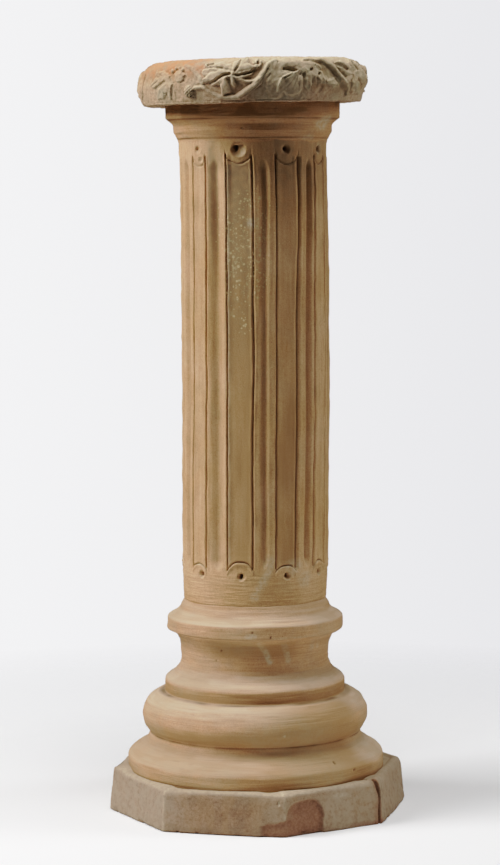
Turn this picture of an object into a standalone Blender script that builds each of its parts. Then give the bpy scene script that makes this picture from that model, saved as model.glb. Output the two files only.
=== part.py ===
"""A fluted terracotta garden column, fired in one piece: octagonal plinth, turned foot, fluted shaft,
small capital, and a round slab whose rim carries a trail of vine leaves. Metres, +Z up, with the origin
at the middle of the plinth's underside. One face of the plinth looks along -Y, which is the front."""

import math

import bmesh
import bpy
import numpy as np
from mathutils import Matrix, Vector

# Angles are in degrees round the column, anticlockwise from above, counted from the front.
FRONT = -90.0
TURNS = 44

# Plinth, an octagon with a slight draft
PLINTH_HEIGHT = 0.0562
PLINTH_FLATS = 0.370
PLINTH_DRAFT = 0.0045
PLINTH_ARRIS = 0.0045
PLINTH_CORNERS = 8

# Turned foot: fillet, sloped shoulder, torus, lip, hollow and ring
FILLET_R, FILLET_TOP = 0.1728, 0.072
TORUS_R, TORUS_MID, TORUS_HALF = 0.152, 0.1285, 0.030
LIP_R, LIP_LOW, LIP_TOP = 0.1213, 0.1586, 0.1742
HOLLOW_R, HOLLOW_LOW = 0.0988, 0.205
RING_R, RING_LOW, RING_TOP = 0.1186, 0.2442, 0.2606
SLOPE_R, SLOPE_TOP = 0.1015, 0.2725
SHAFT_FOOT_R, SHAFT_FOOT = 0.0959, 0.2840

# Shaft and the panels and flutes scratched and cut into it
SHAFT_R, SHAFT_NECK_R = 0.0985, 0.0974
SHAFT_MIDDLE, SHAFT_TOP = 0.520, 0.893
FLUTES = 10
PANEL_TURN = 4.1
PANEL_HALF_WIDTH = 8.3
FLUTE_WIDTH, FLUTE_DEPTH = 0.0155, 0.0055
FLUTE_LOW, FLUTE_HIGH = 0.336, 0.869
FLUTE_FADE = 0.011
LINE_WIDTH, LINE_DEPTH = 0.0030, 0.0017
HOLE_LOW, HOLE_HIGH = 0.3262, 0.8845
HOLE_R, HOLE_DEPTH, HOLE_OVERSHOOT = 0.0046, 0.0080, 0.5
ARC_R, ARC_POINTS = 0.0196, 5

# Capital
STEP_LOW, STEP_R = 0.897, 0.0990
LOWER_BAND_R, LOWER_BAND_LOW, LOWER_BAND_TOP = 0.1051, 0.9078, 0.9148
UPPER_BAND_R, UPPER_BAND_LOW = 0.1157, 0.9255

# Slab: its rim swells, then rounds over into the flat top
SLAB_LOW, SLAB_TOP = 0.9445, 1.000
SLAB_LOW_R, SLAB_SWELL_R, SLAB_SWELL_Z = 0.1432, 0.1500, 0.969
SLAB_ROUND_OUT, SLAB_ROUND_UP = 0.0190, 0.0150
SLAB_LEAN = 1.1
SLAB_HIGH_SIDE = 105.4

# Vine trail on the rim
LEAF_LOBES = 5
LOBE_SPREAD = 66.0
LOBE_TAPER = 0.075
# A lobe's notch, shoulder, tip and shoulder: share of the spread, and share of the leaf's reach
LOBE_SHAPE = ((-0.5, 0.44), (-0.26, 0.74), (0.0, 1.0), (0.26, 0.74))
LEAF_PROUD, LEAF_BED = 0.0046, 0.0040
LEAF_EDGE, LEAF_INNER, LEAF_CROWN = 0.30, 0.68, 0.35
VEIN_RISE = 0.0024
LEAF_SQUAT = 0.66
STEM_R = 0.0031
BERRY_R = 0.0070
TRAIL_LOW, TRAIL_HIGH = 0.9575, 0.9880

# Each leaf as turn, height, reach and the way its middle lobe points
FRONT_LEAVES = (
    (-33.5, 0.9730, 0.0290, 200.0),
    (6.0, 0.9770, 0.0345, 178.0),
    (41.5, 0.9760, 0.0330, 235.0),
    (69.5, 0.9740, 0.0290, 300.0),
)
BACK_LEAVES = 5
BACK_FROM, BACK_TO = 103.0, 291.0
BACK_REACH, BACK_SWAY, BACK_AIM, BACK_TWIST = 0.0310, 0.003, 60.0, 25.0
STEM_STEPS = 6
# The stems in front as turn and height; the hidden ones follow a wave
FRONT_STEMS = (
    ((-16.5, 0.9620), (-7.5, 0.9575), (2.0, 0.9545), (11.0, 0.9565), (20.5, 0.9630),
     (28.0, 0.9740), (32.5, 0.9840), (39.0, 0.9895)),
    ((47.0, 0.9885), (56.0, 0.9850), (64.0, 0.9770), (70.0, 0.9680), (76.0, 0.9610)),
    ((9.0, 0.9690), (15.0, 0.9645), (22.0, 0.9660)),
)
FRONT_BERRIES = ((-18.0, 0.9620), (-25.5, 0.9800), (29.5, 0.9840), (79.5, 0.9640))

# Damage on the plinth: two shallow spalls by its lower edge, each as turn, height, half width, half
# height and depth, and a crack down one corner
SPALLS = ((36.0, 0.0100, 0.0285, 0.0420, 0.0032), (21.5, -0.0010, 0.0220, 0.0180, 0.0040))
SPALL_RIPPLE = 0.06
CRACK_TURN = 67.5
CRACK_WIDTH, CRACK_DEPTH, CRACK_INSET = 0.0022, 0.0065, 0.0045
CRACK_WANDER = (0.0, 0.5, -0.4, 0.3, -0.2, 0.1)

CLAY = (0.46, 0.31, 0.17, 1.0)


def clear_scene():
    for thing in list(bpy.data.objects):
        bpy.data.objects.remove(thing, do_unlink=True)


def around(turn, radius, height):
    """The point at this angle from the front, this far from the axis."""
    angle = math.radians(FRONT + turn)
    return Vector((radius * math.cos(angle), radius * math.sin(angle), height))


def arc(middle, radius, first, last, steps):
    """Points of an arc in the profile's plane, from one angle to another in degrees."""
    angles = [math.radians(first + (last - first) * i / steps) for i in range(steps + 1)]
    return [(middle[0] + radius * math.cos(a), middle[1] + radius * math.sin(a)) for a in angles]


def curve(start, pull_start, pull_end, end, steps):
    """Points of a cubic curve in the profile's plane, without its first point."""
    points = []
    for i in range(1, steps + 1):
        t = i / steps
        weights = ((1 - t) ** 3, 3 * t * (1 - t) ** 2, 3 * t * t * (1 - t), t**3)
        corners = (start, pull_start, pull_end, end)
        points.append(tuple(sum(w * c[k] for w, c in zip(weights, corners)) for k in (0, 1)))
    return points


def foot_profile():
    """Radius and height from inside the plinth up to the bottom of the shaft."""
    points = [(FILLET_R, PLINTH_HEIGHT / 2), (FILLET_R, FILLET_TOP)]
    points += curve(points[-1], (0.1722, 0.0780), (0.1625, 0.0820), (0.1520, 0.0890), 3)
    points += curve(points[-1], (0.1465, 0.0925), (0.1432, 0.0975), (0.1423, 0.1045), 2)
    points += arc((TORUS_R - TORUS_HALF, TORUS_MID), TORUS_HALF, -46, 86, 7)
    points += [(LIP_R, LIP_LOW), (LIP_R, LIP_TOP)]
    points += curve(points[-1], (0.1198, 0.1830), (0.1005, 0.1825), (HOLLOW_R, HOLLOW_LOW), 4)
    points += curve(points[-1], (0.0980, 0.2220), (0.1015, 0.2395), (0.1145, 0.2428), 3)
    points += [(RING_R, RING_LOW), (RING_R, RING_TOP)]
    points += curve(points[-1], (0.1175, 0.2625), (0.1060, 0.2665), (SLOPE_R, SLOPE_TOP), 2)
    points += curve(points[-1], (0.1006, 0.2765), (0.0980, 0.2790), (SHAFT_FOOT_R, SHAFT_FOOT), 2)
    return points


def shaft_profile():
    return [
        (0.0972, 0.318),
        (SHAFT_R, SHAFT_MIDDLE),
        (SHAFT_R, 0.680),
        (SHAFT_NECK_R, 0.860),
        (SHAFT_NECK_R + 0.0008, SHAFT_TOP),
    ]


def shaft_radius(height):
    points = shaft_profile()
    return float(np.interp(height, [z for _, z in points], [r for r, _ in points]))


def capital_profile():
    points = [(STEP_R, STEP_LOW), (LOWER_BAND_R, LOWER_BAND_LOW), (LOWER_BAND_R, LOWER_BAND_TOP)]
    points += curve(points[-1], (0.1056, 0.9185), (0.1100, 0.9210), (UPPER_BAND_R, UPPER_BAND_LOW), 3)
    return points + [(UPPER_BAND_R, SLAB_LOW)]


def rim_profile():
    """The slab's edge from its lower corner to where the flat top begins."""
    shoulder = (SLAB_SWELL_R - 0.0012, SLAB_TOP - SLAB_ROUND_UP)
    points = [(SLAB_LOW_R, SLAB_LOW)]
    points += curve(points[0], (0.1450, 0.9510), (0.1490, 0.9590), (SLAB_SWELL_R, SLAB_SWELL_Z), 3)
    points.append(shoulder)
    for i in range(1, 5):
        swing = math.radians(90 * i / 4)
        points.append((shoulder[0] - SLAB_ROUND_OUT * (1 - math.cos(swing)),
                       shoulder[1] + SLAB_ROUND_UP * math.sin(swing)))
    return points


def rim_radius(height):
    points = rim_profile()
    return float(np.interp(height, [z for _, z in points], [r for r, _ in points]))


def on_rim(turn, height, proud):
    """A point standing out from the rim by this much, or sunk into it where the value is negative."""
    return around(turn, rim_radius(height) + proud, height)


def lean(mesh):
    """Tips the slab and all that sits on it towards its high side, as it was fired."""
    high = around(SLAB_HIGH_SIDE, 1.0, 0.0)
    rise = math.tan(math.radians(SLAB_LEAN))
    for vertex in mesh.verts:
        if vertex.co.z > SLAB_LOW - 1e-4:
            vertex.co.z += rise * (vertex.co.x * high.x + vertex.co.y * high.y)


def finished(name, shape, material=None):
    """An object holding this bmesh, at the origin."""
    bmesh.ops.recalc_face_normals(shape, faces=shape.faces)
    mesh = bpy.data.meshes.new(name)
    shape.to_mesh(mesh)
    shape.free()
    thing = bpy.data.objects.new(name, mesh)
    if material:
        mesh.materials.append(material)
    bpy.context.scene.collection.objects.link(thing)
    return thing


def fired_clay():
    material = bpy.data.materials.new("fired clay")
    material.use_nodes = True
    shader = material.node_tree.nodes["Principled BSDF"]
    shader.inputs["Base Color"].default_value = CLAY
    shader.inputs["Roughness"].default_value = 0.9
    shader.inputs["Metallic"].default_value = 0.0
    material.diffuse_color = CLAY
    return material


def turned_body():
    """Foot, shaft, capital and slab, spun from one profile."""
    shape = bmesh.new()
    outline = foot_profile() + shaft_profile() + capital_profile() + rim_profile()
    outline = [(0.0, outline[0][1])] + outline + [(0.0, SLAB_TOP)]
    chain = [shape.verts.new((r, 0.0, z)) for r, z in outline]
    edges = [shape.edges.new(pair) for pair in zip(chain, chain[1:])]
    bmesh.ops.spin(shape, geom=chain + edges, axis=(0, 0, 1), cent=(0, 0, 0),
                   angle=2 * math.pi, steps=TURNS, use_merge=True)
    bmesh.ops.remove_doubles(shape, verts=shape.verts, dist=1e-5)
    lean(shape)
    return shape


def plinth():
    """The octagonal block, with its upper edges rounded by wear."""
    shape = bmesh.new()
    corner = PLINTH_FLATS / 2 / math.cos(math.pi / PLINTH_CORNERS)
    bmesh.ops.create_cone(shape, cap_ends=True, segments=PLINTH_CORNERS, radius1=corner,
                          radius2=corner - PLINTH_DRAFT, depth=PLINTH_HEIGHT)
    half_side = math.pi / PLINTH_CORNERS
    bmesh.ops.rotate(shape, verts=shape.verts, cent=(0, 0, 0), matrix=Matrix.Rotation(half_side, 3, "Z"))
    bmesh.ops.translate(shape, verts=shape.verts, vec=(0, 0, PLINTH_HEIGHT / 2))
    worn = [e for e in shape.edges if max(v.co.z for v in e.verts) > PLINTH_HEIGHT / 2]
    bmesh.ops.bevel(shape, geom=worn, offset=PLINTH_ARRIS, offset_type="OFFSET", affect="EDGES",
                    segments=2, profile=0.5, material=-1)
    return shape


def flute(turn):
    """A round-bottomed trough with ends that run out, as a long capsule."""
    half = FLUTE_WIDTH / 2
    radius = (half**2 + FLUTE_DEPTH**2) / (2 * FLUTE_DEPTH)
    shape = bmesh.new()
    bmesh.ops.create_uvsphere(shape, u_segments=12, v_segments=5, radius=radius)
    widest = math.cos(math.pi / 10)
    reach = FLUTE_FADE / radius
    middle = (FLUTE_LOW + FLUTE_HIGH) / 2
    straight = (FLUTE_HIGH - FLUTE_LOW) / 2 - FLUTE_FADE
    axis_r = SHAFT_R - FLUTE_DEPTH + radius
    for vertex in shape.verts:
        along = vertex.co.z * reach + math.copysign(straight, vertex.co.z)
        vertex.co = around(0, axis_r, middle + along) + Vector((vertex.co.x, vertex.co.y, 0)) / widest
    bmesh.ops.rotate(shape, verts=shape.verts, cent=(0, 0, 0),
                     matrix=Matrix.Rotation(math.radians(turn), 3, "Z"))
    return shape


def swept(path, width, depth, closed):
    """A tube of diamond section along points on the surface, as deep as a scratched line."""
    shape = bmesh.new()
    rings = []
    count = len(path)
    for i, point in enumerate(path):
        before = path[(i - 1) % count if closed else max(i - 1, 0)]
        after = path[(i + 1) % count if closed else min(i + 1, count - 1)]
        outward = Vector((point.x, point.y, 0)).normalized()
        side = (after - before).normalized().cross(outward).normalized()
        corners = (side * width / 2, outward * -depth, side * -width / 2, outward * depth)
        rings.append([shape.verts.new(point + c) for c in corners])
    pairs = list(zip(rings, rings[1:]))
    if closed:
        pairs.append((rings[-1], rings[0]))
    else:
        shape.faces.new(rings[0])
        shape.faces.new(rings[-1])
    for one, other in pairs:
        for k in range(4):
            shape.faces.new((one[k], one[(k + 1) % 4], other[(k + 1) % 4], other[k]))
    return shape


def panel_outline(turn):
    """The closed line round one panel: two long sides, and an arc about the hole beyond each end."""
    half = SHAFT_R * math.radians(PANEL_HALF_WIDTH)
    meet = math.degrees(math.asin(half / ARC_R))
    path = []
    for hole, way in ((HOLE_HIGH, -1), (HOLE_LOW, 1)):
        for i in range(ARC_POINTS):
            swing = math.radians(meet * (2 * i / (ARC_POINTS - 1) - 1)) * -way
            across = math.degrees(ARC_R * math.sin(swing) / SHAFT_R)
            height = hole + way * ARC_R * math.cos(swing)
            path.append(around(turn + across, shaft_radius(height), height))
    return swept(path, LINE_WIDTH, LINE_DEPTH, closed=True)


def drilled_hole(turn, height):
    """A cone pointing into the shaft, reaching a little outside it so that it cuts cleanly."""
    over = 1 + HOLE_OVERSHOOT
    shape = bmesh.new()
    bmesh.ops.create_cone(shape, cap_ends=True, segments=8, radius1=0.0, radius2=HOLE_R * over,
                          depth=HOLE_DEPTH * over)
    pointing = around(turn, 1.0, 0.0).to_track_quat("Z", "Y").to_matrix()
    bmesh.ops.rotate(shape, verts=shape.verts, cent=(0, 0, 0), matrix=pointing)
    bmesh.ops.remove_doubles(shape, verts=shape.verts, dist=1e-5)
    middle = shaft_radius(height) + HOLE_DEPTH * (HOLE_OVERSHOOT - over / 2)
    bmesh.ops.translate(shape, verts=shape.verts, vec=around(turn, middle, height))
    return shape


def leaf_outline(reach, aim):
    """Points round a lobed leaf, lying flat: a notch, a shoulder, the tip and a shoulder for each lobe."""
    points = []
    for lobe in range(LEAF_LOBES):
        off_middle = lobe - (LEAF_LOBES - 1) / 2
        length = reach * (1 - LOBE_TAPER * off_middle**2)
        for share, far in LOBE_SHAPE:
            angle = math.radians(aim + LOBE_SPREAD * (off_middle + share))
            points.append((length * far * math.cos(angle), length * far * math.sin(angle) * LEAF_SQUAT))
    return points


def vine_leaf(turn, height, reach, aim):
    """A lobed leaf laid on the rim, each lobe ridged along its vein."""
    shape = bmesh.new()
    top = shape.faces.new([shape.verts.new((x, y, -LEAF_BED)) for x, y in leaf_outline(reach, aim)])
    edge = LEAF_PROUD * LEAF_EDGE
    for rise, shrink in ((LEAF_BED + edge, 1.0), (edge, LEAF_INNER)):
        raised = bmesh.ops.extrude_face_region(shape, geom=[top])["geom"]
        if rise < LEAF_BED:
            bmesh.ops.delete(shape, geom=[top], context="FACES_ONLY")
        top = next(item for item in raised if isinstance(item, bmesh.types.BMFace))
        for vertex in top.verts:
            far = math.hypot(vertex.co.x, vertex.co.y / LEAF_SQUAT) / reach
            vein = VEIN_RISE * far if shrink < 1 else 0.0
            vertex.co = Vector((vertex.co.x * shrink, vertex.co.y * shrink, vertex.co.z + rise + vein))
    bmesh.ops.poke(shape, faces=[top], offset=LEAF_PROUD * LEAF_CROWN)
    for vertex in shape.verts:
        along, up, proud = vertex.co
        level = min(height + up, SLAB_TOP - 0.0015)
        vertex.co = on_rim(turn + math.degrees(along / SLAB_SWELL_R), level, proud)
    return shape


def stem(path):
    """A round stem half sunk in the rim, from points of turn and height."""
    line = [on_rim(turn, height, STEM_R * 0.2) for turn, height in path]
    return swept(line, 2 * STEM_R, STEM_R, closed=False)


def berries(turn, height):
    shape = bmesh.new()
    bmesh.ops.create_icosphere(shape, subdivisions=1, radius=BERRY_R)
    bmesh.ops.translate(shape, verts=shape.verts, vec=on_rim(turn, height, 0.0))
    return shape


def trail():
    """Every leaf, stem and berry on the rim. The hidden side repeats the front's rhythm."""
    leaves = list(FRONT_LEAVES)
    stems = list(FRONT_STEMS)
    fruit = list(FRONT_BERRIES)
    step = (BACK_TO - BACK_FROM) / (BACK_LEAVES - 1)
    middle = (TRAIL_LOW + TRAIL_HIGH) / 2
    swing = (TRAIL_HIGH - TRAIL_LOW) / 2
    for i in range(BACK_LEAVES):
        turn = BACK_FROM + step * i
        way = 1 if i % 2 == 0 else -1
        leaves.append((turn, middle + way * BACK_SWAY, BACK_REACH, BACK_AIM * way + BACK_TWIST * i))
        if i < BACK_LEAVES - 1:
            shares = [t / STEM_STEPS for t in range(STEM_STEPS + 1)]
            stems.append([(turn + step * t, middle - way * swing * math.cos(math.pi * t)) for t in shares])
            fruit.append((turn + step / 2, middle + way * swing * 0.9))
    return ([vine_leaf(*leaf) for leaf in leaves] + [stem(path) for path in stems]
            + [berries(*place) for place in fruit])


def plinth_face(turn):
    """How far the plinth's upright faces are from the axis at this angle."""
    side = 360.0 / PLINTH_CORNERS
    off_middle = (turn + side / 2) % side - side / 2
    return PLINTH_FLATS / 2 / math.cos(math.radians(off_middle))


def spall(turn, height, half_width, half_height, depth):
    """A shell of clay lost from the plinth's face, as a rough lens that is cut away."""
    shape = bmesh.new()
    bmesh.ops.create_icosphere(shape, subdivisions=2, radius=1.0)
    for vertex in shape.verts:
        ripple = 1 + SPALL_RIPPLE * math.sin(5 * vertex.co.x + 3 * vertex.co.z)
        across, out, up = vertex.co * ripple
        away = plinth_face(turn)
        swing = turn + math.degrees(across * half_width / away)
        vertex.co = around(swing, plinth_face(swing) + out * depth, height + up * half_height)
    return shape


def crack():
    """The open crack down one upright edge of the plinth."""
    corner = PLINTH_FLATS / 2 / math.cos(math.pi / PLINTH_CORNERS)
    path = []
    for i, sway in enumerate(CRACK_WANDER):
        height = PLINTH_HEIGHT * (1.1 - i / (len(CRACK_WANDER) - 1))
        path.append(around(CRACK_TURN + sway, corner - CRACK_INSET, height))
    return swept(path, CRACK_WIDTH, CRACK_DEPTH, closed=False)


def gather(name, shapes):
    """A hidden collection of helper solids for a Boolean to read."""
    group = bpy.data.collections.new(name)
    bpy.context.scene.collection.children.link(group)
    for i, shape in enumerate(shapes):
        helper = finished(f"{name}_{i:02d}", shape)
        bpy.context.scene.collection.objects.unlink(helper)
        group.objects.link(helper)
        helper.hide_render = True
        helper.display_type = "WIRE"
    return group


def combine(body, name, shapes, operation):
    boolean = body.modifiers.new(name, "BOOLEAN")
    boolean.operation = operation
    boolean.operand_type = "COLLECTION"
    boolean.collection = gather(name, shapes)
    boolean.solver = "EXACT"


def column():
    body = finished("terracotta_column", turned_body(), fired_clay())
    body.data.shade_smooth()
    body.data.set_sharp_from_angle(angle=math.radians(35))
    carving = trail()
    for shape in carving:
        lean(shape)
    turns = [PANEL_TURN + 360.0 / FLUTES * i for i in range(FLUTES)]
    holes = [drilled_hole(turn, height) for turn in turns for height in (HOLE_LOW, HOLE_HIGH)]
    combine(body, "plinth_block", [plinth()], "UNION")
    combine(body, "vine_trail", carving, "UNION")
    combine(body, "flute_cuts", [flute(turn + 180.0 / FLUTES) for turn in turns], "DIFFERENCE")
    combine(body, "panel_lines", [panel_outline(turn) for turn in turns], "DIFFERENCE")
    combine(body, "drilled_holes", holes, "DIFFERENCE")
    combine(body, "plinth_damage", [spall(*place) for place in SPALLS] + [crack()], "DIFFERENCE")


clear_scene()
column()
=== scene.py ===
"""A fluted terracotta garden column: octagonal plinth, turned foot, fluted shaft with scratched panels, small
capital, and a round slab whose rim carries a vine modelled by hand. Shapes are worked out in millimetres and
written to the meshes in metres. Turns are degrees round the column from its front, anticlockwise from
above."""

import math

import bmesh
import bpy
import numpy as np
from mathutils import Matrix, Vector


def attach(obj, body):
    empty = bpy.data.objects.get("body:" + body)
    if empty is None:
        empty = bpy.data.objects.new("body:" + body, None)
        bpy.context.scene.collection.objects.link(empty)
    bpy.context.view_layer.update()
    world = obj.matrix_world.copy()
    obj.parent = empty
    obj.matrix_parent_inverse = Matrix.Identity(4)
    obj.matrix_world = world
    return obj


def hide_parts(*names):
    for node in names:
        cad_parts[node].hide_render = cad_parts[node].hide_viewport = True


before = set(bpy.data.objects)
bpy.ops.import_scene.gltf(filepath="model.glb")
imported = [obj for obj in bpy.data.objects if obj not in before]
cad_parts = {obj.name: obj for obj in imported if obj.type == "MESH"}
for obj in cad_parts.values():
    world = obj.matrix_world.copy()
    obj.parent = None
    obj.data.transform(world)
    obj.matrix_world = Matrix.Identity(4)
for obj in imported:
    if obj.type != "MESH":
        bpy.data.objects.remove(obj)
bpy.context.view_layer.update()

MM = 0.001
FRONT = -90
NODE = "terracotta_column"

# Plinth
PLINTH_HEIGHT, PLINTH_FLATS, PLINTH_DRAFT = 56.2, 370, 4.5
PLINTH_SIDE = 45
CORNER_SOFTNESS = 3
# Its corners aren't evenly spaced: how far round each stands from its even place
TWIST_TURNS, TWIST = (-67.5, -22.9, 26, 69.2, 112.5), (0, -0.4, 3.5, 1.7, 0)
# Its right side is pushed out, and its left top corner is raised
PLINTH_PUSH, PLINTH_RAISED = 5.6, 3.6
# The crack as turns and heights, and how wide it gapes at each height
CRACK = ((68.8, 60), (69.2, 51.5), (70.2, 40), (70, 31), (68.9, 16.5), (68.4, -4))
CRACK_HEIGHTS, CRACK_WIDTHS = (0, 14, 27, 36, 44, 56), (2, 2, 2.6, 4.2, 4.8, 3.4)

# Foot: how far out its mouldings reach, and the heights of the lines of painted shade between them
TORUS_R, HOLLOW_R, RING_R = 150, 101, 118
TORUS_LOW, TORUS_HIGH, RING_LOW = 105.2, 158.4, 243.4
FOOT_GOUGES = ((-21, 152), (-19, 147), (-12, 146), (-26, 85), (-20, 79), (-17, 84))

# Shaft
SHAFT_FOOT, SHAFT_TOP = 284, 893
SHAFT_OUTLINE = ((95.9, 284), (97.2, 318), (98.5, 520), (98.5, 680), (97.4, 860), (98.2, 893))
SHAFT_R = 98.5
PANELS = 10
PANEL_PITCH = 360 / PANELS
PANEL_TURN, PANEL_HALF = 4.1, 8.3
HOLE_LOW, HOLE_HIGH = 325, 883.5
# Each hole's countersink as radius and depth, then its bore's place beside and above the middle, and radius
PLAIN_HOLES = ((5.8, 3, -0.6, 0.6, 2.6), (5.8, 3, -0.6, 0.6, 2.9))
HOLES_SEEN = {(0, 1): (9.8, 4.6, -3.9, 2.6, 3.3), (1, 1): (6.4, 3, -0.2, 0.5, 2.5),
              (2, 1): (6.2, 2.6, 0.6, 0.5, 2.6), (PANELS - 1, 1): (5.6, 1.8, -2.2, 0.8, 1.7)}
BORE_DEPTH = 6
# Where a scoop of clay is lost below the left hole, as turn and height
SCOOP = (-28.8, 870.5)
LINE_WIDTH, LINE_DEPTH = 3.1, 2.4
ARC_DEPTH, ARC_RISE = 2.1, 0.55
# Lines scratched thinner or wider than the rest, by panel and side
BOLDNESS = {(0, -1): 0.72, (1, 1): 1.9, (2, -1): 1.3}
FLUTE_HALF, FLUTE_DEPTH = 9.5, 3.6
FLUTE_LOW, FLUTE_HIGH, FLUTE_FADE = 332, 871, 15
# The lines and flutes weren't drawn upright: how far each part leans at the shaft's head and foot, in degrees
LEAN_TURNS = (-60, -39, -19, -5, 15, 25, 34, 49, 63, 77, 110)
LEAN_HEAD = (0, 1.1, 1.2, 0.8, 0.5, 2, 0.9, 3.4, 2.9, 1.6, 0)
LEAN_FOOT = (0, -2.6, 0.2, 0.2, -0.4, 0, 0, -0.4, -0.2, 0.4, 0)
# How high the band of lichen lies across the middle panel
LICHEN_BAND = 702

# Capital: the heights of its lines of painted shade
CAPITAL_LINE_LOW, CAPITAL_LINE_HIGH = 898.6, 923.6

# Slab
SLAB_LOW, SLAB_TOP, SLAB_CORNER_R = 944.5, 1000, 143.2
SLAB_LEAN, SLAB_HIGH_SIDE = 1.1, 105.4
SLAB_SAG = 2
RIM_R = 150
RIM_MM_PER_DEGREE = math.radians(RIM_R)

# The shaft isn't quite straight: how far it bows to one side at each height
BOW_SIDE = 105.4
BOW = ((0, -0.6), (100, -1.8), (170, -1.8), (270, -1.2), (350, 0), (430, 0.6), (510, 1.3), (590, 2.1),
       (720, 2.1), (750, 1.8), (857, 0.8), (880, 0), (1010, 0))


# Numbers over whole surfaces

def smooth(low, high, value):
    """0 below low, 1 above high, and an even slope between."""
    t = np.clip((value - low) / (high - low), 0, 1)
    return t * t * (3 - 2 * t)


def within(value, low, full_low, full_high, high):
    """1 between the two inner limits, and fading to 0 at the outer two."""
    return smooth(low, full_low, value) * smooth(high, full_high, value)


def bell(gap, width):
    """1 where there is no gap, falling away evenly on both sides of it."""
    return np.exp(-((gap / width) ** 2))


def mm_per_degree(radius):
    """Millimetres round a piece of this radius for each degree of turn."""
    return math.radians(radius)


def wrapped(turn):
    """The same turn between -180 and 180 degrees."""
    return (np.asarray(turn) + 180) % 360 - 180


def lumps(x, y, z, size, seed):
    """Even noise from -1 to 1 with lumps of about this size, the same on every run."""
    cells = 32
    lattice = np.random.default_rng(seed).uniform(-1, 1, (cells, cells, cells))
    place = np.stack(np.broadcast_arrays(x, y, z), -1).astype(float) / size + 0.37 * seed
    cell = np.floor(place).astype(int)
    t = place - cell
    t = t * t * (3 - 2 * t)
    total = np.zeros(place.shape[:-1])
    for dx in (0, 1):
        for dy in (0, 1):
            for dz in (0, 1):
                share = (np.abs(1 - dx - t[..., 0]) * np.abs(1 - dy - t[..., 1]) * np.abs(1 - dz - t[..., 2]))
                corner = (cell + (dx, dy, dz)) % cells
                total += share * lattice[corner[..., 0], corner[..., 1], corner[..., 2]]
    return total * 1.6


def sway(height, size, seed):
    """A hand's slow wander along a line."""
    return lumps(height, 0, 0, size, seed)


# Profiles

def curve(start, pull_start, pull_end, end, steps=14):
    """Points of a cubic curve, without its first point."""
    t = np.linspace(0, 1, steps + 1)[1:, None]
    corners = [np.array(c, float) for c in (start, pull_start, pull_end, end)]
    points = ((1 - t) ** 3 * corners[0] + 3 * t * (1 - t) ** 2 * corners[1] + 3 * t * t * (1 - t) * corners[2]
              + t**3 * corners[3])
    return [tuple(p) for p in points]


def arc(middle, radius, first, last, steps=30):
    angles = np.radians(np.linspace(first, last, steps + 1))
    return [(middle[0] + radius * math.cos(a), middle[1] + radius * math.sin(a)) for a in angles]


def softened(points, spacing, rounding):
    """The outline again at an even spacing, with its corners worn round."""
    points = np.array(points, float)
    along = np.concatenate([[0], np.cumsum(np.hypot(*np.diff(points, axis=0).T))])
    fine = np.arange(0, along[-1], spacing / 4)
    line = np.stack([np.interp(fine, along, points[:, k]) for k in (0, 1)], 1)
    reach = int(6 * rounding / (spacing / 4)) + 1
    weights = np.exp(-((np.arange(-reach, reach + 1) * spacing / 4 / rounding) ** 2) / 2)
    weights /= weights.sum()
    for k in (0, 1):
        before = 2 * line[0, k] - line[reach:0:-1, k]
        after = 2 * line[-1, k] - line[-2:-reach - 2:-1, k]
        line[:, k] = np.convolve(np.concatenate([before, line[:, k], after]), weights, "valid")
    line = line[::4]
    return [tuple(p) for p in line]


def foot_profile():
    points = [(172.8, 50), (172.8, 72)]
    points += curve(points[-1], (172.2, 78), (162.5, 82), (152, 89))
    points += curve(points[-1], (146.5, 92.5), (143.2, 97.5), (142.3, 104.5))
    points += arc((122, 128.5), 30, -46, 86)
    points += [(121.3, 158.6), (121.3, 174.2)]
    points += curve(points[-1], (119.8, 183), (100.5, 182.5), (98.8, 205))
    points += curve(points[-1], (98, 222), (101.5, 239.5), (114.5, 242.8))
    points += [(118.6, 244.2), (118.6, 260.6)]
    points += curve(points[-1], (117.5, 262.5), (106, 266.5), (101.5, 272.5))
    points += curve(points[-1], (100.6, 276.5), (98, 279), (95.9, 284))
    return points + [(92.6, 290)]


def capital_profile():
    points = [(97, 889), (98.2, 893), (99, 897), (105.1, 907.8), (105.1, 914.8)]
    points += curve(points[-1], (105.6, 918.5), (110, 921), (115.7, 925.5))
    return points + [(115.7, 949)]


def rim_profile():
    """The slab's edge, from its lower corner to where the flat top begins."""
    points = [(SLAB_CORNER_R, SLAB_LOW)]
    points += curve(points[0], (145, 951), (149, 959), (150, 969))
    points += [(148.8, 985)]
    rounding = np.radians(np.arange(6, 91, 6))
    return points + [(148.8 - 19 * (1 - math.cos(s)), 985 + 15 * math.sin(s)) for s in rounding]


def slab_profile(spacing):
    under = [(r, SLAB_LOW) for r in (60, 100, 112)]
    edge = softened([(118, SLAB_LOW)] + rim_profile() + [(118, SLAB_TOP)], spacing, 1.3)
    top = [(r, SLAB_TOP) for r in (112, 104, 94, 80, 60, 34)]
    return under + edge + top


def plinth_profile(spacing):
    half = PLINTH_FLATS / 2
    face = [(half - 12, 0), (half, 0), (half - PLINTH_DRAFT, PLINTH_HEIGHT), (half - 28, PLINTH_HEIGHT)]
    return [(60, 0), (120, 0), (150, 0)] + softened(face, spacing, 1.6) + [(140, PLINTH_HEIGHT)]


def shaft_radius(height):
    return np.interp(height, [z for _, z in SHAFT_OUTLINE], [r for r, _ in SHAFT_OUTLINE])


def shaft_profile():
    """Rows close together at both ends, where the panels finish, and wide apart between."""
    heights = np.concatenate([np.arange(279, 348, 1), np.arange(348, 856, 8), np.arange(856, 898, 1.3)])
    return [(float(shaft_radius(z)), float(z)) for z in heights]


# Turned pieces

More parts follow.
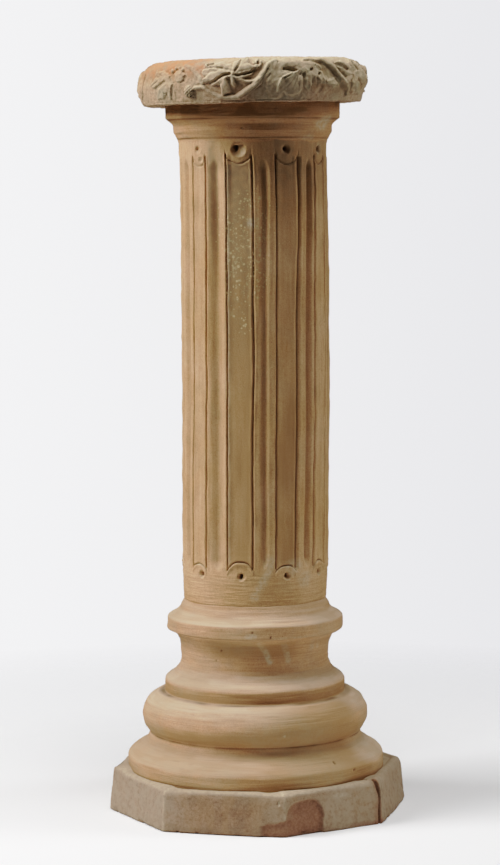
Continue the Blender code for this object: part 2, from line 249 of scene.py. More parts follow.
class Surface:
    """The points of a turned piece, as turn, radius and height, with their place on the outline."""

    def __init__(self, name, profile, columns, crowd=None):
        self.name = name
        chain = np.array([(0, profile[0][1])] + list(profile) + [(0, profile[-1][1])])
        rows = len(chain) - 1
        shape = bmesh.new()
        bmesh.ops.create_grid(shape, x_segments=columns, y_segments=rows, size=1.0)
        rolled = []
        for vert in shape.verts:
            angle = math.pi * vert.co.x
            radius, height = chain[round((vert.co.y + 1) / 2 * rows)]
            if abs(vert.co.x) > 0.9999 or radius == 0:
                rolled.append(vert)
            vert.co = (radius * math.cos(angle), radius * math.sin(angle), height)
        bmesh.ops.remove_doubles(shape, verts=rolled, dist=0.01)
        bmesh.ops.recalc_face_normals(shape, faces=shape.faces)
        self.mesh = bpy.data.meshes.new(name)
        shape.to_mesh(self.mesh)
        shape.free()
        co = np.empty(len(self.mesh.vertices) * 3)
        self.mesh.vertices.foreach_get("co", co)
        co = co.reshape(-1, 3)
        self.turn = wrapped(np.degrees(np.arctan2(co[:, 1], co[:, 0])) - FRONT)
        self.radius = np.hypot(co[:, 0], co[:, 1])
        self.height = co[:, 2].copy()
        if crowd is not None:
            self.turn = wrapped(crowd(self.turn))
        self.place_on(chain)

    def place_on(self, chain):
        """Finds each point's place along the outline, and which way the outline faces there."""
        step = np.hypot(*np.diff(chain, axis=0).T)
        along = np.concatenate([[0], np.cumsum(step)])
        slope = np.gradient(chain, along, axis=0)
        facing = np.stack([slope[:, 1], -slope[:, 0]], 1)
        facing /= np.linalg.norm(facing, axis=1)[:, None]
        away, above = self.radius[:, None] - chain[None, :, 0], self.height[:, None] - chain[None, :, 1]
        row = (away**2 + above**2).argmin(1)
        self.along = along[row]
        self.facing = facing[row]

    def flat(self):
        """Each point's place in space before it is carved."""
        angle = np.radians(self.turn + FRONT)
        return self.radius * np.cos(angle), self.radius * np.sin(angle), self.height

    def carve(self, depth):
        """Sinks each point by this much, or raises it where the depth is negative."""
        self.radius = self.radius - depth * self.facing[:, 0]
        self.height = self.height - depth * self.facing[:, 1]

    def lean(self):
        high = np.cos(np.radians(self.turn - SLAB_HIGH_SIDE))
        self.height = self.height + math.tan(math.radians(SLAB_LEAN)) * self.radius * high

    def paint(self, painted_name, amount):
        """Stores a painted value's strength at each point, for the material to read: a finish, painted shade
        or a painted highlight.
        """
        layer = self.mesh.attributes.new(painted_name, "FLOAT", "POINT")
        layer.data.foreach_set("value", np.clip(amount, 0, 1).astype(np.float32))

    def finished(self, material):
        x, y, z = self.flat()
        bow = np.interp(z, [h for h, _ in BOW], [b for _, b in BOW])
        side = math.radians(BOW_SIDE + FRONT)
        x = x + bow * math.cos(side)
        y = y + bow * math.sin(side)
        self.mesh.vertices.foreach_set("co", (np.stack([x, y, z], 1) * MM).astype(np.float32).ravel())
        self.mesh.update()
        self.mesh.shade_smooth()
        self.mesh.materials.append(material)
        piece = bpy.data.objects.new(self.name, self.mesh)
        bpy.context.scene.collection.objects.link(piece)
        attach(piece, "root")
        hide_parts(NODE)
        return piece


# Carving, on a surface laid out flat in millimetres

def path_points(path, steps=6):
    """A smooth line through given points."""
    path = np.array(path, float)
    if len(path) < 3:
        return path
    ends = np.concatenate([[2 * path[0] - path[1]], path, [2 * path[-1] - path[-2]]])
    points = []
    for p0, p1, p2, p3 in zip(ends, ends[1:], ends[2:], ends[3:]):
        for t in np.arange(steps) / steps:
            points.append(0.5 * (2 * p1 + (p2 - p0) * t + (2 * p0 - 5 * p1 + 4 * p2 - p3) * t**2
                                 + (3 * p1 - p0 - 3 * p2 + p3) * t**3))
    return np.array(points + [path[-1]])


def from_path(across, up, path, reach):
    """How far each point is from a line, and how far along the line its nearest point is, from 0 to 1."""
    points = path_points(path)
    away = np.full(across.shape, 1e6)
    along = np.zeros(across.shape)
    low, high = points.min(0) - reach, points.max(0) + reach
    near = (across > low[0]) & (across < high[0]) & (up > low[1]) & (up < high[1])
    if not near.any():
        return away, along
    x, y = across[near], up[near]
    lengths = np.hypot(*np.diff(points, axis=0).T)
    starts = np.concatenate([[0], np.cumsum(lengths)])
    best, share = np.full(x.shape, 1e6), np.zeros(x.shape)
    for one, other, length, start in zip(points, points[1:], lengths, starts):
        way = (other - one) / max(length, 1e-6)
        t = np.clip((x - one[0]) * way[0] + (y - one[1]) * way[1], 0, length)
        gap = np.hypot(x - one[0] - t * way[0], y - one[1] - t * way[1])
        closer = gap < best
        best = np.where(closer, gap, best)
        share = np.where(closer, (start + t) / starts[-1], share)
    away[near] = best
    along[near] = share
    return away, along


class Relief:
    """How far a rim's surface stands out, built up by adding clay and cutting it away."""

    def __init__(self, turn, up):
        self.across = wrapped(turn) * RIM_MM_PER_DEGREE
        self.up = up
        self.proud = np.zeros(turn.shape)
        self.leafy = np.zeros(turn.shape)

    def mm(self, path):
        return [(turn * RIM_MM_PER_DEGREE, up) for turn, up in path]

    def ridge(self, path, half_widths, height):
        """A roll of clay along a path, its half width running through the widths given."""
        away, along = from_path(self.across, self.up, self.mm(path), 10)
        half = np.interp(along, np.linspace(0, 1, len(half_widths)), half_widths)
        round_top = np.sqrt(np.clip(1 - (away / half) ** 2, 0, 1))
        rise = height * (half / max(half_widths)) ** 0.7 * round_top
        self.proud = np.maximum(self.proud, rise + np.minimum(self.proud, 0.6) * (rise > 0))
        self.leafy = np.maximum(self.leafy, round_top)

    def groove(self, path, half_width, depth):
        """A cut with a tool, steep at its sides."""
        away, _ = from_path(self.across, self.up, self.mm(path), 8)
        self.proud = self.proud - depth * (1 - smooth(0.25 * half_width, 1.15 * half_width, away))

    def lobe(self, root, tip, half_width, height, vein=0.3, curl=0):
        """One lobe of a leaf: widest past its middle, pointed, with a vein pressed down it."""
        (x0, y0), (x1, y1) = self.mm([root, tip])
        length = math.hypot(x1 - x0, y1 - y0)
        way = ((x1 - x0) / length, (y1 - y0) / length)
        u = ((self.across - x0) * way[0] + (self.up - y0) * way[1]) / length
        v = -(self.across - x0) * way[1] + (self.up - y0) * way[0]
        inside = np.clip(u, 0, 1)
        edge = 1.22 * half_width * np.sin(math.pi * inside**0.85) ** 0.62 * (1.05 - 0.25 * inside)
        edge = edge * (1 + 0.12 * np.sin(5.5 * math.pi * inside + half_width)) + 0.01
        side = v / edge
        beside = (u > 0.12) & (u < 1.08) & (np.abs(v) < edge + 2.2) & (self.proud < 2)
        moat = 1.5 * smooth(edge + 2.2, edge + 0.6, np.abs(v)) * within(u, 1.08, 1, 0.3, 0.12)
        self.proud = np.where(beside, self.proud - moat, self.proud)
        on = (u > 0) & (u < 1) & (np.abs(side) < 1)
        crown = np.where(on, (1 - np.abs(side) ** 4), 0) ** 0.5
        lift = 0.72 + 0.28 * np.sin(math.pi * np.clip(inside * 0.9 + 0.1, 0, 1)) + curl * side
        rise = height * crown * lift - vein * bell(v, 0.9) * on
        self.proud = np.where(on, np.maximum(self.proud, rise), self.proud)
        self.leafy = np.maximum(self.leafy, crown)

    def plate(self, turn, up, half_width, half_height, height):
        """The low bed of clay that a leaf's lobes were worked out of."""
        gap = np.hypot((self.across - turn * RIM_MM_PER_DEGREE) / half_width, (self.up - up) / half_height)
        self.proud = np.maximum(self.proud, height * smooth(1, 0.75, gap))

    def knob(self, turn, up, radius, height):
        gap = np.hypot(self.across - turn * RIM_MM_PER_DEGREE, self.up - up) / radius
        rise = height * np.sqrt(np.clip(1 - gap**2, 0, 1))
        self.proud = np.maximum(self.proud, rise)
        self.leafy = np.maximum(self.leafy, smooth(1, 0.8, gap))

    def pit(self, turn, up, radius, depth):
        gap = np.hypot(self.across - turn * RIM_MM_PER_DEGREE, self.up - up) / radius
        self.proud = self.proud - depth * (1 - smooth(0.4, 1.1, gap))

    def scored(self, turn, up, radius, spacing, depth):
        """Crossed scratches over a knob, which make a bunch of berries of it."""
        x, y = self.across - turn * RIM_MM_PER_DEGREE, self.up - up
        near = smooth(radius, radius * 0.85, np.hypot(x, y))
        for way in (math.radians(40), math.radians(125)):
            line = np.abs((x * math.cos(way) + y * math.sin(way)) / spacing % 1 - 0.5) * 2
            self.proud = self.proud - depth * near * smooth(0.62, 1, line)


def vine_in_front(rim):
    """The trail as it runs round the side that shows, from left to right. Places are turn and distance up the
    rim from its lower corner."""
    # The leaf on the left, and the small flower above it
    rim.plate(-34.5, 24, 24, 17, 1.5)
    rim.lobe((-28, 31), (-46, 25), 9, 2.3, vein=0.2)
    rim.lobe((-28.5, 30), (-41.5, 8), 8.5, 2.4, vein=0.2)
    rim.lobe((-29, 31), (-31, 6), 6.5, 2.2, vein=0.2)
    rim.lobe((-30, 33), (-41, 40), 5.5, 1.8, vein=0.2)
    rim.lobe((-23, 43), (-23.6, 25), 8, 2.6)
    for turn in (-28, -25.8, -23.6, -21.4):
        rim.knob(turn, 46.5 - abs(turn + 24.5) * 1.4, 2.8, 2.7)
    rim.groove([(-43, 17.6), (-33.5, 28.6)], 2.5, 3.8)
    rim.groove([(-46, 23), (-39, 29.8)], 1.2, 1.4)
    rim.groove([(-27.1, 23.5), (-28.2, 17), (-29.2, 9)], 2.6, 3.8)
    rim.groove([(-29.6, 34), (-28.2, 27)], 1.7, 2.6)
    rim.groove([(-27.4, 26.4), (-20.3, 25.4)], 1.4, 3)
    rim.pit(-32.7, 51, 2.3, 3)
    rim.pit(-25.8, 49.6, 2.6, 3.6)
    rim.pit(-24.4, 42.2, 1.6, 2.2)
    rim.pit(-42.9, 16.6, 1.6, 1.8)
    rim.pit(-34.2, 14, 1.3, 1.6)

    # Stalk up to the flower, and the berries on the vine's end
    rim.ridge([(-9, 18.8), (-10.8, 29), (-12.8, 35.5), (-15.9, 43.5), (-20.5, 49)], (2.4, 3.2, 3.2, 2), 1.5)
    rim.knob(-17.6, 15, 7.6, 5.6)
    rim.scored(-17.6, 15, 7.6, 2.9, 2.2)
    rim.knob(-13.9, 18.6, 2.8, 3.6)

    # The middle leaf
    rim.plate(2.5, 35.5, 24, 14, 1.4)
    rim.lobe((7, 36), (-10.2, 37.5), 13, 2.8, vein=0.2)
    rim.lobe((5.4, 34.2), (-9.6, 27), 8.6, 4.4, curl=-0.15)
    rim.lobe((5.8, 38.5), (-8.8, 47.6), 7, 3.4, vein=0.5, curl=0.12)
    rim.lobe((6.2, 36), (13.6, 56), 8, 3.8, curl=0.2)
    rim.lobe((6, 34.6), (17.6, 41.4), 8.6, 4.4, vein=0.4, curl=0.12)
    rim.lobe((5.8, 33.5), (0.6, 9.5), 8.4, 4.6, vein=0.2, curl=-0.15)
    rim.knob(5.8, 34.6, 3.6, 5)
    rim.groove([(4.4, 34.4), (1.2, 32.8), (-1.6, 28.6), (-4.4, 24.6), (-8, 22.8)], 2.2, 3.6)
    rim.pit(-6.2, 23.4, 3, 2.6)
    rim.groove([(1, 41.6), (-4.6, 43.2), (-8.6, 42.4)], 1.2, 1.5)
    rim.groove([(-7, 46.2), (-4, 47)], 1.5, 2.6)
    rim.groove([(7, 37.5), (8.6, 43), (9.8, 50)], 1.7, 2)
    rim.groove([(7.6, 32.2), (11.5, 33.6), (14.5, 35.8), (16.8, 39.6)], 2.1, 3.4)
    rim.groove([(3.8, 27.6), (4.6, 21), (6.2, 12.4)], 3.8, 4.4)
    rim.groove([(8.6, 25.8), (11.5, 20.8), (15.2, 19.6)], 3.6, 3.2)
    rim.pit(-1, 17, 2, 0.8)

    # The clay pressed up against the vine's right side
    rim.plate(27, 28, 17, 27, 2.9)

    # Tendril and the main vine
    rim.ridge([(5.8, 31.4), (9.4, 27.2), (12.3, 24.8), (15.3, 24.6), (18.6, 28.2)], (2.2, 2, 1.8, 2), 3.8)
    rim.ridge([(-14.2, 18.8), (-9.6, 19.2), (-6.6, 14.4), (-3.2, 9.6), (1.2, 6.6), (5.6, 5.8), (9.4, 8.4),
               (13.5, 14.6), (17.7, 23.4), (20.7, 34.5), (22.4, 42.8), (24.6, 47.6), (27.2, 50.6)],
              (2.4, 2.4, 2.4, 2.7, 3.2, 4.2, 4.6, 4.4, 3.2, 2.8), 4.7)
    rim.groove([(9.4, 6.2), (14, 12.2), (18.6, 22.4), (21.6, 34), (22.8, 40)], 1.2, 2.2)
    rim.groove([(11, 3.4), (15.8, 9.8), (20.8, 20.8), (23.9, 33)], 1.4, 0.7)

    # The rosette in the vine's bend
    for k in range(5):
        way = math.radians(72 * k + 20)
        rim.knob(18.2 + 1.6 * math.cos(way), 46.8 + 4.4 * math.sin(way), 3.1, 3.4)
    rim.pit(19.9, 41.4, 3, 4.6)
    rim.pit(16.4, 48.8, 1.8, 2.8)
    rim.groove([(21.2, 46.5), (24, 51.4), (27.4, 53.6), (34.5, 55.6)], 1, 1.9)
    rim.pit(27.9, 47.6, 1.3, 2)

    # The folded leaf right of the vine
    rim.plate(39, 32, 33, 22, 1.8)
    rim.plate(34, 48, 18, 8, 2.6)
    rim.plate(35.2, 21, 19, 15.5, 3.2)
    rim.lobe((41, 41.5), (44.6, 12), 7.4, 3.6)
    rim.lobe((41.2, 42), (55, 21), 9, 3)
    rim.lobe((40.8, 44), (52, 40), 6.4, 2.6)
    rim.groove([(30.6, 38.8), (33.6, 38.4), (36.8, 36.6)], 2, 3.6)
    rim.ridge([(37.6, 35.6), (33.6, 32), (30.2, 29)], (1.2, 1.9, 1.4), 5)
    rim.ridge([(29.4, 27.6), (28.2, 21), (27.5, 12.6)], (1.2, 1.9, 1.4), 5)
    rim.ridge([(36, 32.4), (31.4, 25.6)], (0.9, 1.2, 0.9), 4.2)
    rim.groove([(35.8, 34.2), (31, 28.4)], 1.1, 1.6)
    for turn, up in ((32, 16), (35, 13), (38.2, 13.6)):
        rim.groove([(39 + 0.3 * (turn - 39), 31), (turn, up)], 1.1, 0.7)
    rim.groove([(41.1, 33), (41.2, 20)], 2.3, 5)
    rim.pit(45.3, 38.4, 2.1, 3.4)
    rim.pit(50.2, 32.6, 2.2, 3.4)
    rim.pit(47.6, 43.4, 1.4, 1.8)
    rim.groove([(48.6, 27), (50.4, 19), (52, 11.4)], 2.4, 4.2)
    rim.groove([(53.4, 27), (55.6, 14)], 1.3, 1.8)
    rim.groove([(46.2, 27), (47.6, 16)], 1.2, 1.5)
    rim.lobe((65, 23), (54.4, 22), 5.6, 3, vein=0.2)
    rim.groove([(56, 17.6), (63.6, 16.8)], 1.6, 2.2)

    # The second vine, running down to the right
    rim.ridge([(42, 51.4), (49.6, 51), (54.4, 48.4), (58.6, 42.8), (62, 35), (65.2, 27.4), (69.2, 18.8),
               (73.4, 10)], (2, 3.2, 4, 4, 3.6, 3), 4.2)
    rim.groove([(47, 48.2), (52, 45.4), (55.6, 40), (58.6, 32.8), (61.6, 25), (65.6, 16)], 2, 4.2)
    rim.groove([(62.6, 25.6), (67, 11)], 2.8, 3)
    rim.groove([(41.6, 53.8), (46.5, 55.4), (51.3, 55)], 1.5, 2.6)

    # The leaf at the right end
    rim.plate(79, 30, 34, 25, 2.2)
    rim.lobe((74.4, 35), (61.4, 47.5), 8, 3.4)
    rim.lobe((74.4, 37), (77, 56), 8, 3.4)
    rim.lobe((76, 37), (89, 49.5), 8.6, 3.6)
    rim.lobe((76, 34), (95, 30), 9, 4.6)
    rim.lobe((75, 32), (85, 9), 9, 4.4)
    rim.lobe((74.4, 32), (71, 6), 7.6, 3.4)
    rim.groove([(61.4, 44.8), (65.6, 43.2), (69.6, 39.2)], 2.5, 4.4)
    rim.groove([(72.4, 23.6), (73.2, 9)], 2.9, 4.4)
    rim.groove([(74.6, 31.4), (73.2, 25)], 1.6, 2.4)
    rim.groove([(75.2, 49.2), (80.9, 39.4)], 1.9, 2.6)
    rim.groove([(82.6, 52.4), (88.6, 41.6)], 1.9, 2.6)
    rim.groove([(80, 27), (86, 20)], 1.7, 2.4)


def leaf_behind(rim, turn, up, reach, aim):
    """A five-lobed leaf of the side that the vine's front is repeated on."""
    for k in range(5):
        way = math.radians(aim + 66 * (k - 2))
        length = reach * (1 - 0.07 * (k - 2) ** 2)
        tip = (turn + length * math.cos(way) / RIM_MM_PER_DEGREE, up + 0.7 * length * math.sin(way))
        rim.lobe((turn, up), tip, 0.23 * reach, 3.6, vein=0.7)
    for k in range(4):
        way = math.radians(aim + 66 * (k - 1.5))
        ends = [(turn + s * reach * math.cos(way) / RIM_MM_PER_DEGREE, up + 0.7 * s * reach * math.sin(way))
                for s in (0.24, 0.5)]
        rim.groove(ends, 1.3, 2.6)
    rim.knob(turn, up, 2.6, 4.2)


def vine_behind(rim):
    """The hidden side: the same leaves, stems and berries in an even wave."""
    leaves, first, last = 5, 110, 288
    step = (last - first) / (leaves - 1)
    middle, swing = 29, 15
    for k in range(leaves):
        turn = first + step * k
        way = 1 if k % 2 == 0 else -1
        if k < leaves - 1:
            shares = np.arange(7) / 6
            wave = [(turn - 360 + step * t, middle - way * swing * math.cos(math.pi * t)) for t in shares]
            for shift in (0, 360):
                rim.ridge([(t + shift, up) for t, up in wave], (2.2, 3.2, 2.8, 2.2), 4.2)
            berry = wrapped(turn + step * 0.5)
            rim.knob(berry, middle + way * swing * 0.75, 6.4, 5)
            rim.scored(berry, middle + way * swing * 0.75, 6.4, 2.5, 1.4)
        leaf_behind(rim, float(wrapped(turn)), middle + way * 3, 29, 60 * way + 25 * k)


# The pieces

def vine_slab(material):
    slab = Surface("vine_slab", slab_profile(0.88), 760, crowded(((12, 80, 1.3),)))
    x, y, z = slab.flat()
    turn = slab.turn
    corner = slab.along[np.argmin((slab.radius - SLAB_CORNER_R) ** 2 + (slab.height - SLAB_LOW) ** 2)]
    up = slab.along - corner
    rim = Relief(turn, up)
    vine_in_front(rim)
    vine_behind(rim)

    # Dents all over, a seam where the trail's ends overlap, and modelling that is softer on the left
    side = smooth(-1.5, 3, up) * smooth(73, 62, up)
    worn = np.where(rim.proud > 1, rim.proud - 0.25 * np.abs(lumps(x, y, z, 4, 6)), rim.proud)
    broken_leaves = side * within(up, 6, 12, 50, 60) * within(turn, 24, 32, 92, 102)
    dents = 0.55 * lumps(x, y, z, 22, 3) + 0.38 * lumps(x, y, z, 8, 4) + 0.32 * lumps(x, y, z, 3, 5)
    dents = dents + 0.8 * broken_leaves * lumps(x, y, z, 7, 10)
    margin = bell(up - 2.6 - 0.5 * sway(turn, 9, 7), 0.6) * smooth(62, 40, np.abs(turn))
    left_lip = bell(up - 17, 16) * within(turn, -92, -80, -64.5, -60.5)
    seam = bell(wrapped(turn + 58 + 0.25 * (32 - up) + 0.8 * sway(up, 14, 8)), 0.75)
    both_ends = (smooth(-35, -70, turn) + smooth(70, 90, turn)) * smooth(120, 100, np.abs(turn))
    quiet = 0.75 * within(turn, -120, -104, -66, -61)
    proud = (worn + 2.2 * left_lip - 1.9 * seam * smooth(46, 36, up)) * side + 0.9 * dents - 0.7 * margin
    proud = proud - 2.8 * both_ends * bell(up - 54, 10)
    proud = proud - quiet * (np.maximum(worn * side - 0.4, 0) + 3.6 * bell(up - 58, 12))
    slab.carve(-proud)
    # The lower edge hangs a little in front
    sag = SLAB_SAG * within(turn, -80, 10, 70, 120)
    slab.height = slab.height - sag * smooth(-25, -4, up) * smooth(16, 2, up)
    slab.lean()

    # Patina and lime on the leaves, pink clay on the left and greyer clay on the right
    on_rim = smooth(82, 64, up)
    blotches = smooth(0.1, 0.8, lumps(x, y, z, 26, 9) + 0.2)
    pink = within(turn, -78, -50, -14, -2) * smooth(24, 44, up)
    greyer = smooth(24, 40, turn)
    patina = 0.5 * rim.leafy + 0.35 * blotches + 0.3 * greyer + 0.5 * within(turn, 18, 24, 30, 40)
    slab.paint("patina", patina * side * (1 - 0.6 * pink))
    slab.paint("pink", (pink * (1 - 0.7 * rim.leafy) + 0.3 * smooth(46, 60, up) * (1 - greyer)) * on_rim)
    fired = within(turn, -125, -95, -34, -8) * smooth(16, 44, up)
    browner = smooth(34, 46, turn) * smooth(0, 0.6, lumps(x, y, z, 10, 16)) * smooth(6, 14, up)
    slab.paint("stain_and_shade", ((1.15 + 0.5 * lumps(x, y, z, 9, 15)) * fired + 0.8 * browner) * on_rim)
    # Painted shade in the grooves, pits and hollows between the leaves
    slab.paint("painted_shade", 0.7 * smooth(-0.6, -2.8, proud - dents))
    slab.paint("lime_and_highlight", 0.55 * within(turn, 14, 20, 34, 46) * smooth(46, 30, up) * side
               + 0.35 * rim.leafy * within(turn, -16, -8, 36, 44))
    slab.paint("grime", within(up, 40, 52, 58, 70) * smooth(10, -20, turn))
    return slab.finished(material)


def capital(material):
    piece = Surface("capital_mouldings", softened(capital_profile(), 0.7, 0.5), 480)
    x, y, z = piece.flat()
    turn = piece.turn
    piece.carve(0.30 * lumps(x, y, z, 30, 11) + 0.16 * lumps(x / 5, y / 5, z, 2.4, 12)
                + pits(x, y, z, ((7.7, 911, 1.6, 2.4), (-7, 906, 0.9, 1.2), (30, 936, 1.1, 1))))
    # Painted shade in the lines under its two steps, and high up under the slab's overhang
    lines = 0.9 * bell(z - CAPITAL_LINE_LOW, 1.1) + 0.8 * bell(z - CAPITAL_LINE_HIGH, 1.2)
    piece.paint("painted_shade", lines * (0.7 + 0.3 * lumps(x, y, z, 20, 13)) + 0.25 * smooth(926, 934, z))
    piece.paint("comb", np.ones(z.shape))
    piece.paint("lime_and_highlight", spots(turn, z, 108, ((0.7, 74, 917, 22, 13),))
                + spots(turn, z, 100, ((0.35, 60, 899, 20, 7),)))
    # Mottled brown paint for the shade under the slab's overhang
    piece.paint("stain_and_shade", 0.9 * smooth(918, 926, z) * smooth(0.1, 0.6, lumps(x / 3, y / 3, z, 9, 14)))
    return piece.finished(material)


def pits(x, y, z, places):
    """Small holes burnt out of the clay, each as turn, height, radius and depth. The depth is added up."""
    turn = wrapped(np.degrees(np.arctan2(y, x)) - FRONT)
    radius = np.hypot(x, y)
    depth = np.zeros(x.shape)
    for at, height, size, deep in places:
        gap = np.hypot(np.radians(wrapped(turn - at)) * radius, z - height) / size
        depth = depth + deep * (1 - smooth(0.3, 1.1, gap))
    return depth


def panel_places():
    """Middle turn and half width of each panel. Those in front are uneven, as the hand left them."""
    measured = {0: (3.35, 10.35), 1: (40.25, 8.8), 2: (75.6, 8.15), PANELS - 1: (-32.5, 6.9)}
    even = [(float(wrapped(PANEL_TURN + PANEL_PITCH * k)), PANEL_HALF) for k in range(PANELS)]
    return [measured.get(k, place) for k, place in enumerate(even)]


def panel_ends():
    """For each panel, how far its end arcs lie from the drilled hole, above and below."""
    measured = {0: (18.6, 19.6), 1: (19.6, 14), PANELS - 1: (22, 13.5)}
    return [measured.get(k, (19.6, 15.5)) for k in range(PANELS)]


def crowded(places):
    """Moves a turned piece's columns closer together at some turns. Each place is a turn, a half width in
    degrees and how many more columns than elsewhere."""
    turns = np.arange(-180, 180.01, 0.05)
    density = np.ones(turns.shape)
    for middle, half, more in places:
        density += more * bell(wrapped(turns - middle), half)
    share = np.concatenate([[0], np.cumsum((density[1:] + density[:-1]) / 2)])
    share = share / share[-1] * 360 - 180
    return lambda turn: np.interp(turn, share, turns)


def shaft_relief(turn, z, places, ends):
    """Depth of the lines, arcs, panels and flutes at each point of the shaft, and how shaded each is."""
    depth = np.zeros(turn.shape)
    painted_shade = np.zeros(turn.shape)
    mm = mm_per_degree(SHAFT_R)
    for k, ((middle, half), (reach_high, reach_low)) in enumerate(zip(places, ends)):
        across = wrapped(turn - middle) * mm
        half_mm = half * mm
        near = np.abs(across) < half_mm + 24
        a, h = across[near], z[near]
        cuts = np.zeros(a.shape)
        # Arcs about the holes
        arcs = []
        for hole, reach, way in ((HOLE_HIGH, reach_high, -1), (HOLE_LOW, reach_low, 1)):
            rise = ARC_RISE * reach
            bend = (half_mm**2 + rise**2) / (2 * rise)
            centre = hole + way * (reach - bend)
            inner = np.clip(1 - (a / bend) ** 2, 0, 1)
            arcs.append(centre + way * bend * np.sqrt(inner) + 0.5 * sway(a, 9, 40 + k))
        high, low = arcs
        # The two long lines, each with the burr of clay that the tool pushed up beside it
        for side in (-1, 1):
            seed = 40 + 20 * side + k
            line = (side * half_mm + 0.55 * sway(h, 70, seed) + 0.26 * sway(h, 19, seed + 7)
                    + 0.08 * sway(h, 8, seed + 9))
            off = np.abs(a - line)
            width = BOLDNESS.get((k, side), 1) * LINE_WIDTH / 2 * (1 + 0.16 * sway(h, 26, seed + 11))
            over_top = 3 + 2 * math.sin(seed)
            run = (smooth(over_top, over_top - 2.5, h - (HOLE_HIGH - 9.5))
                   * smooth(-3.5, -1, h - (HOLE_LOW + 11)))
            tail = np.where((a - line > 1.7 * width) & (side < 0), 3.4, 1.2)
            burr = bell(off - 1.7 * width, tail) * (0.7 + 0.5 * sway(h, 11, seed + 13))
            cuts = np.maximum(cuts, LINE_DEPTH * (1 - smooth(0.15 * width, 1.1 * width, off)) * run)
            depth[near] -= burr * run
        inside = np.abs(a) < half_mm + 0.6
        for arc_height, way in ((high, -1), (low, 1)):
            off = (h - arc_height) * way
            shape = np.where(off > 0, 1 - smooth(0.2, 1.5, off), 1 - smooth(0.2, 1.9, -off))
            cuts = np.maximum(cuts, np.where(inside, ARC_DEPTH * shape, 0))
        # Above the top arc the clay is dished towards the hole, and below the lower one it stands up as a lip
        dish_high = within(h - high, 0, 1, 0, 12)
        lip_low = within(low - h, 0, 1.6, 3.5, 7.5)
        depth[near] += np.where(inside, 0.9 * dish_high - 1.1 * lip_low, 0)
        # The panel between its lines is a little flattened
        between = smooth(0, 8, high - h) * smooth(0, 8, h - low)
        sag = SHAFT_R * (np.cos(a / SHAFT_R) - math.cos(math.radians(half)))
        depth[near] += np.where(np.abs(a) < half_mm, 0.55 * sag * between, 0)
        depth[near] += cuts
        # Painted shade in the cut lines and arcs
        painted_shade[near] = np.maximum(painted_shade[near], 0.85 * smooth(0.5, 1, cuts / LINE_DEPTH))
    for k, (middle, flute_half, flute_depth) in enumerate(flutes(places)):
        a = wrapped(turn - middle) * mm + 0.5 * sway(z, 60, 90 + k)
        run = np.minimum(smooth(0, 1, (FLUTE_HIGH + 2 * math.sin(k) - z) / FLUTE_FADE),
                         smooth(0, 1, (z - FLUTE_LOW - 2 * math.cos(k)) / FLUTE_FADE)) ** 0.8
        half = flute_half * (0.55 + 0.45 * run) * (1 + 0.06 * sway(z, 90, 130 + k))
        deep = flute_depth * run * (1 + 0.06 * sway(z, 45, 110 + k))
        trough = 0.5 + 0.5 * np.cos(math.pi * np.clip(a / half, -1, 1))
        depth += deep * trough - 0.25 * run * bell(np.abs(a) - half, 1.4)
        # Painted shade in the flutes' troughs, lighter near their tops
        painted_shade = np.maximum(painted_shade, 0.34 * trough * run * (1 - 0.6 * smooth(770, 850, z)))
    return depth, painted_shade


def flutes(places):
    """Middle turn, half width and depth of each flute. It runs between one panel's right line and the next
    one's left, and those in front differ."""
    measured = {0: (22, 6.8, 3.9), 1: (60, 6.8, 5.2), PANELS - 1: (-15.9, 12.4, 4.9)}
    found = []
    for k, (middle, half) in enumerate(places):
        after, half_after = places[(k + 1) % PANELS]
        gap = (after - half_after - middle - half) % 360
        found.append(measured.get(k, (float(wrapped(middle + half + gap / 2)), FLUTE_HALF, FLUTE_DEPTH)))
    return found


def drilled_holes(turn, z, places):
    """Each hole is a wide countersink with a narrow bore to one side of its middle."""
    depth = np.zeros(turn.shape)
    mm = mm_per_degree(SHAFT_R)
    for k, (middle, _) in enumerate(places):
        for level, height in enumerate((HOLE_LOW, HOLE_HIGH)):
            wide, sink, side, lift, bore = HOLES_SEEN.get((k, level), PLAIN_HOLES[level])
            across = wrapped(turn - middle - 0.9) * mm
            gap = np.hypot(across, z - height) / wide
            core = np.hypot(across - side, (z - height - lift) * 0.62)
            depth += sink * np.clip(1 - gap**2, 0, 1) ** 0.75
            depth += BORE_DEPTH * (1 - smooth(0.55, 1, core / bore))
            depth -= np.where(z < height, 0.5, 0.2) * bell((gap - 1.12) * wide, 0.9)
    scoop = np.hypot(wrapped(turn - SCOOP[0]) * mm, z - SCOOP[1])
    return depth + 1.6 * (1 - smooth(0.2, 1, scoop / 4.2)) - 0.7 * bell(scoop - 5, 1)


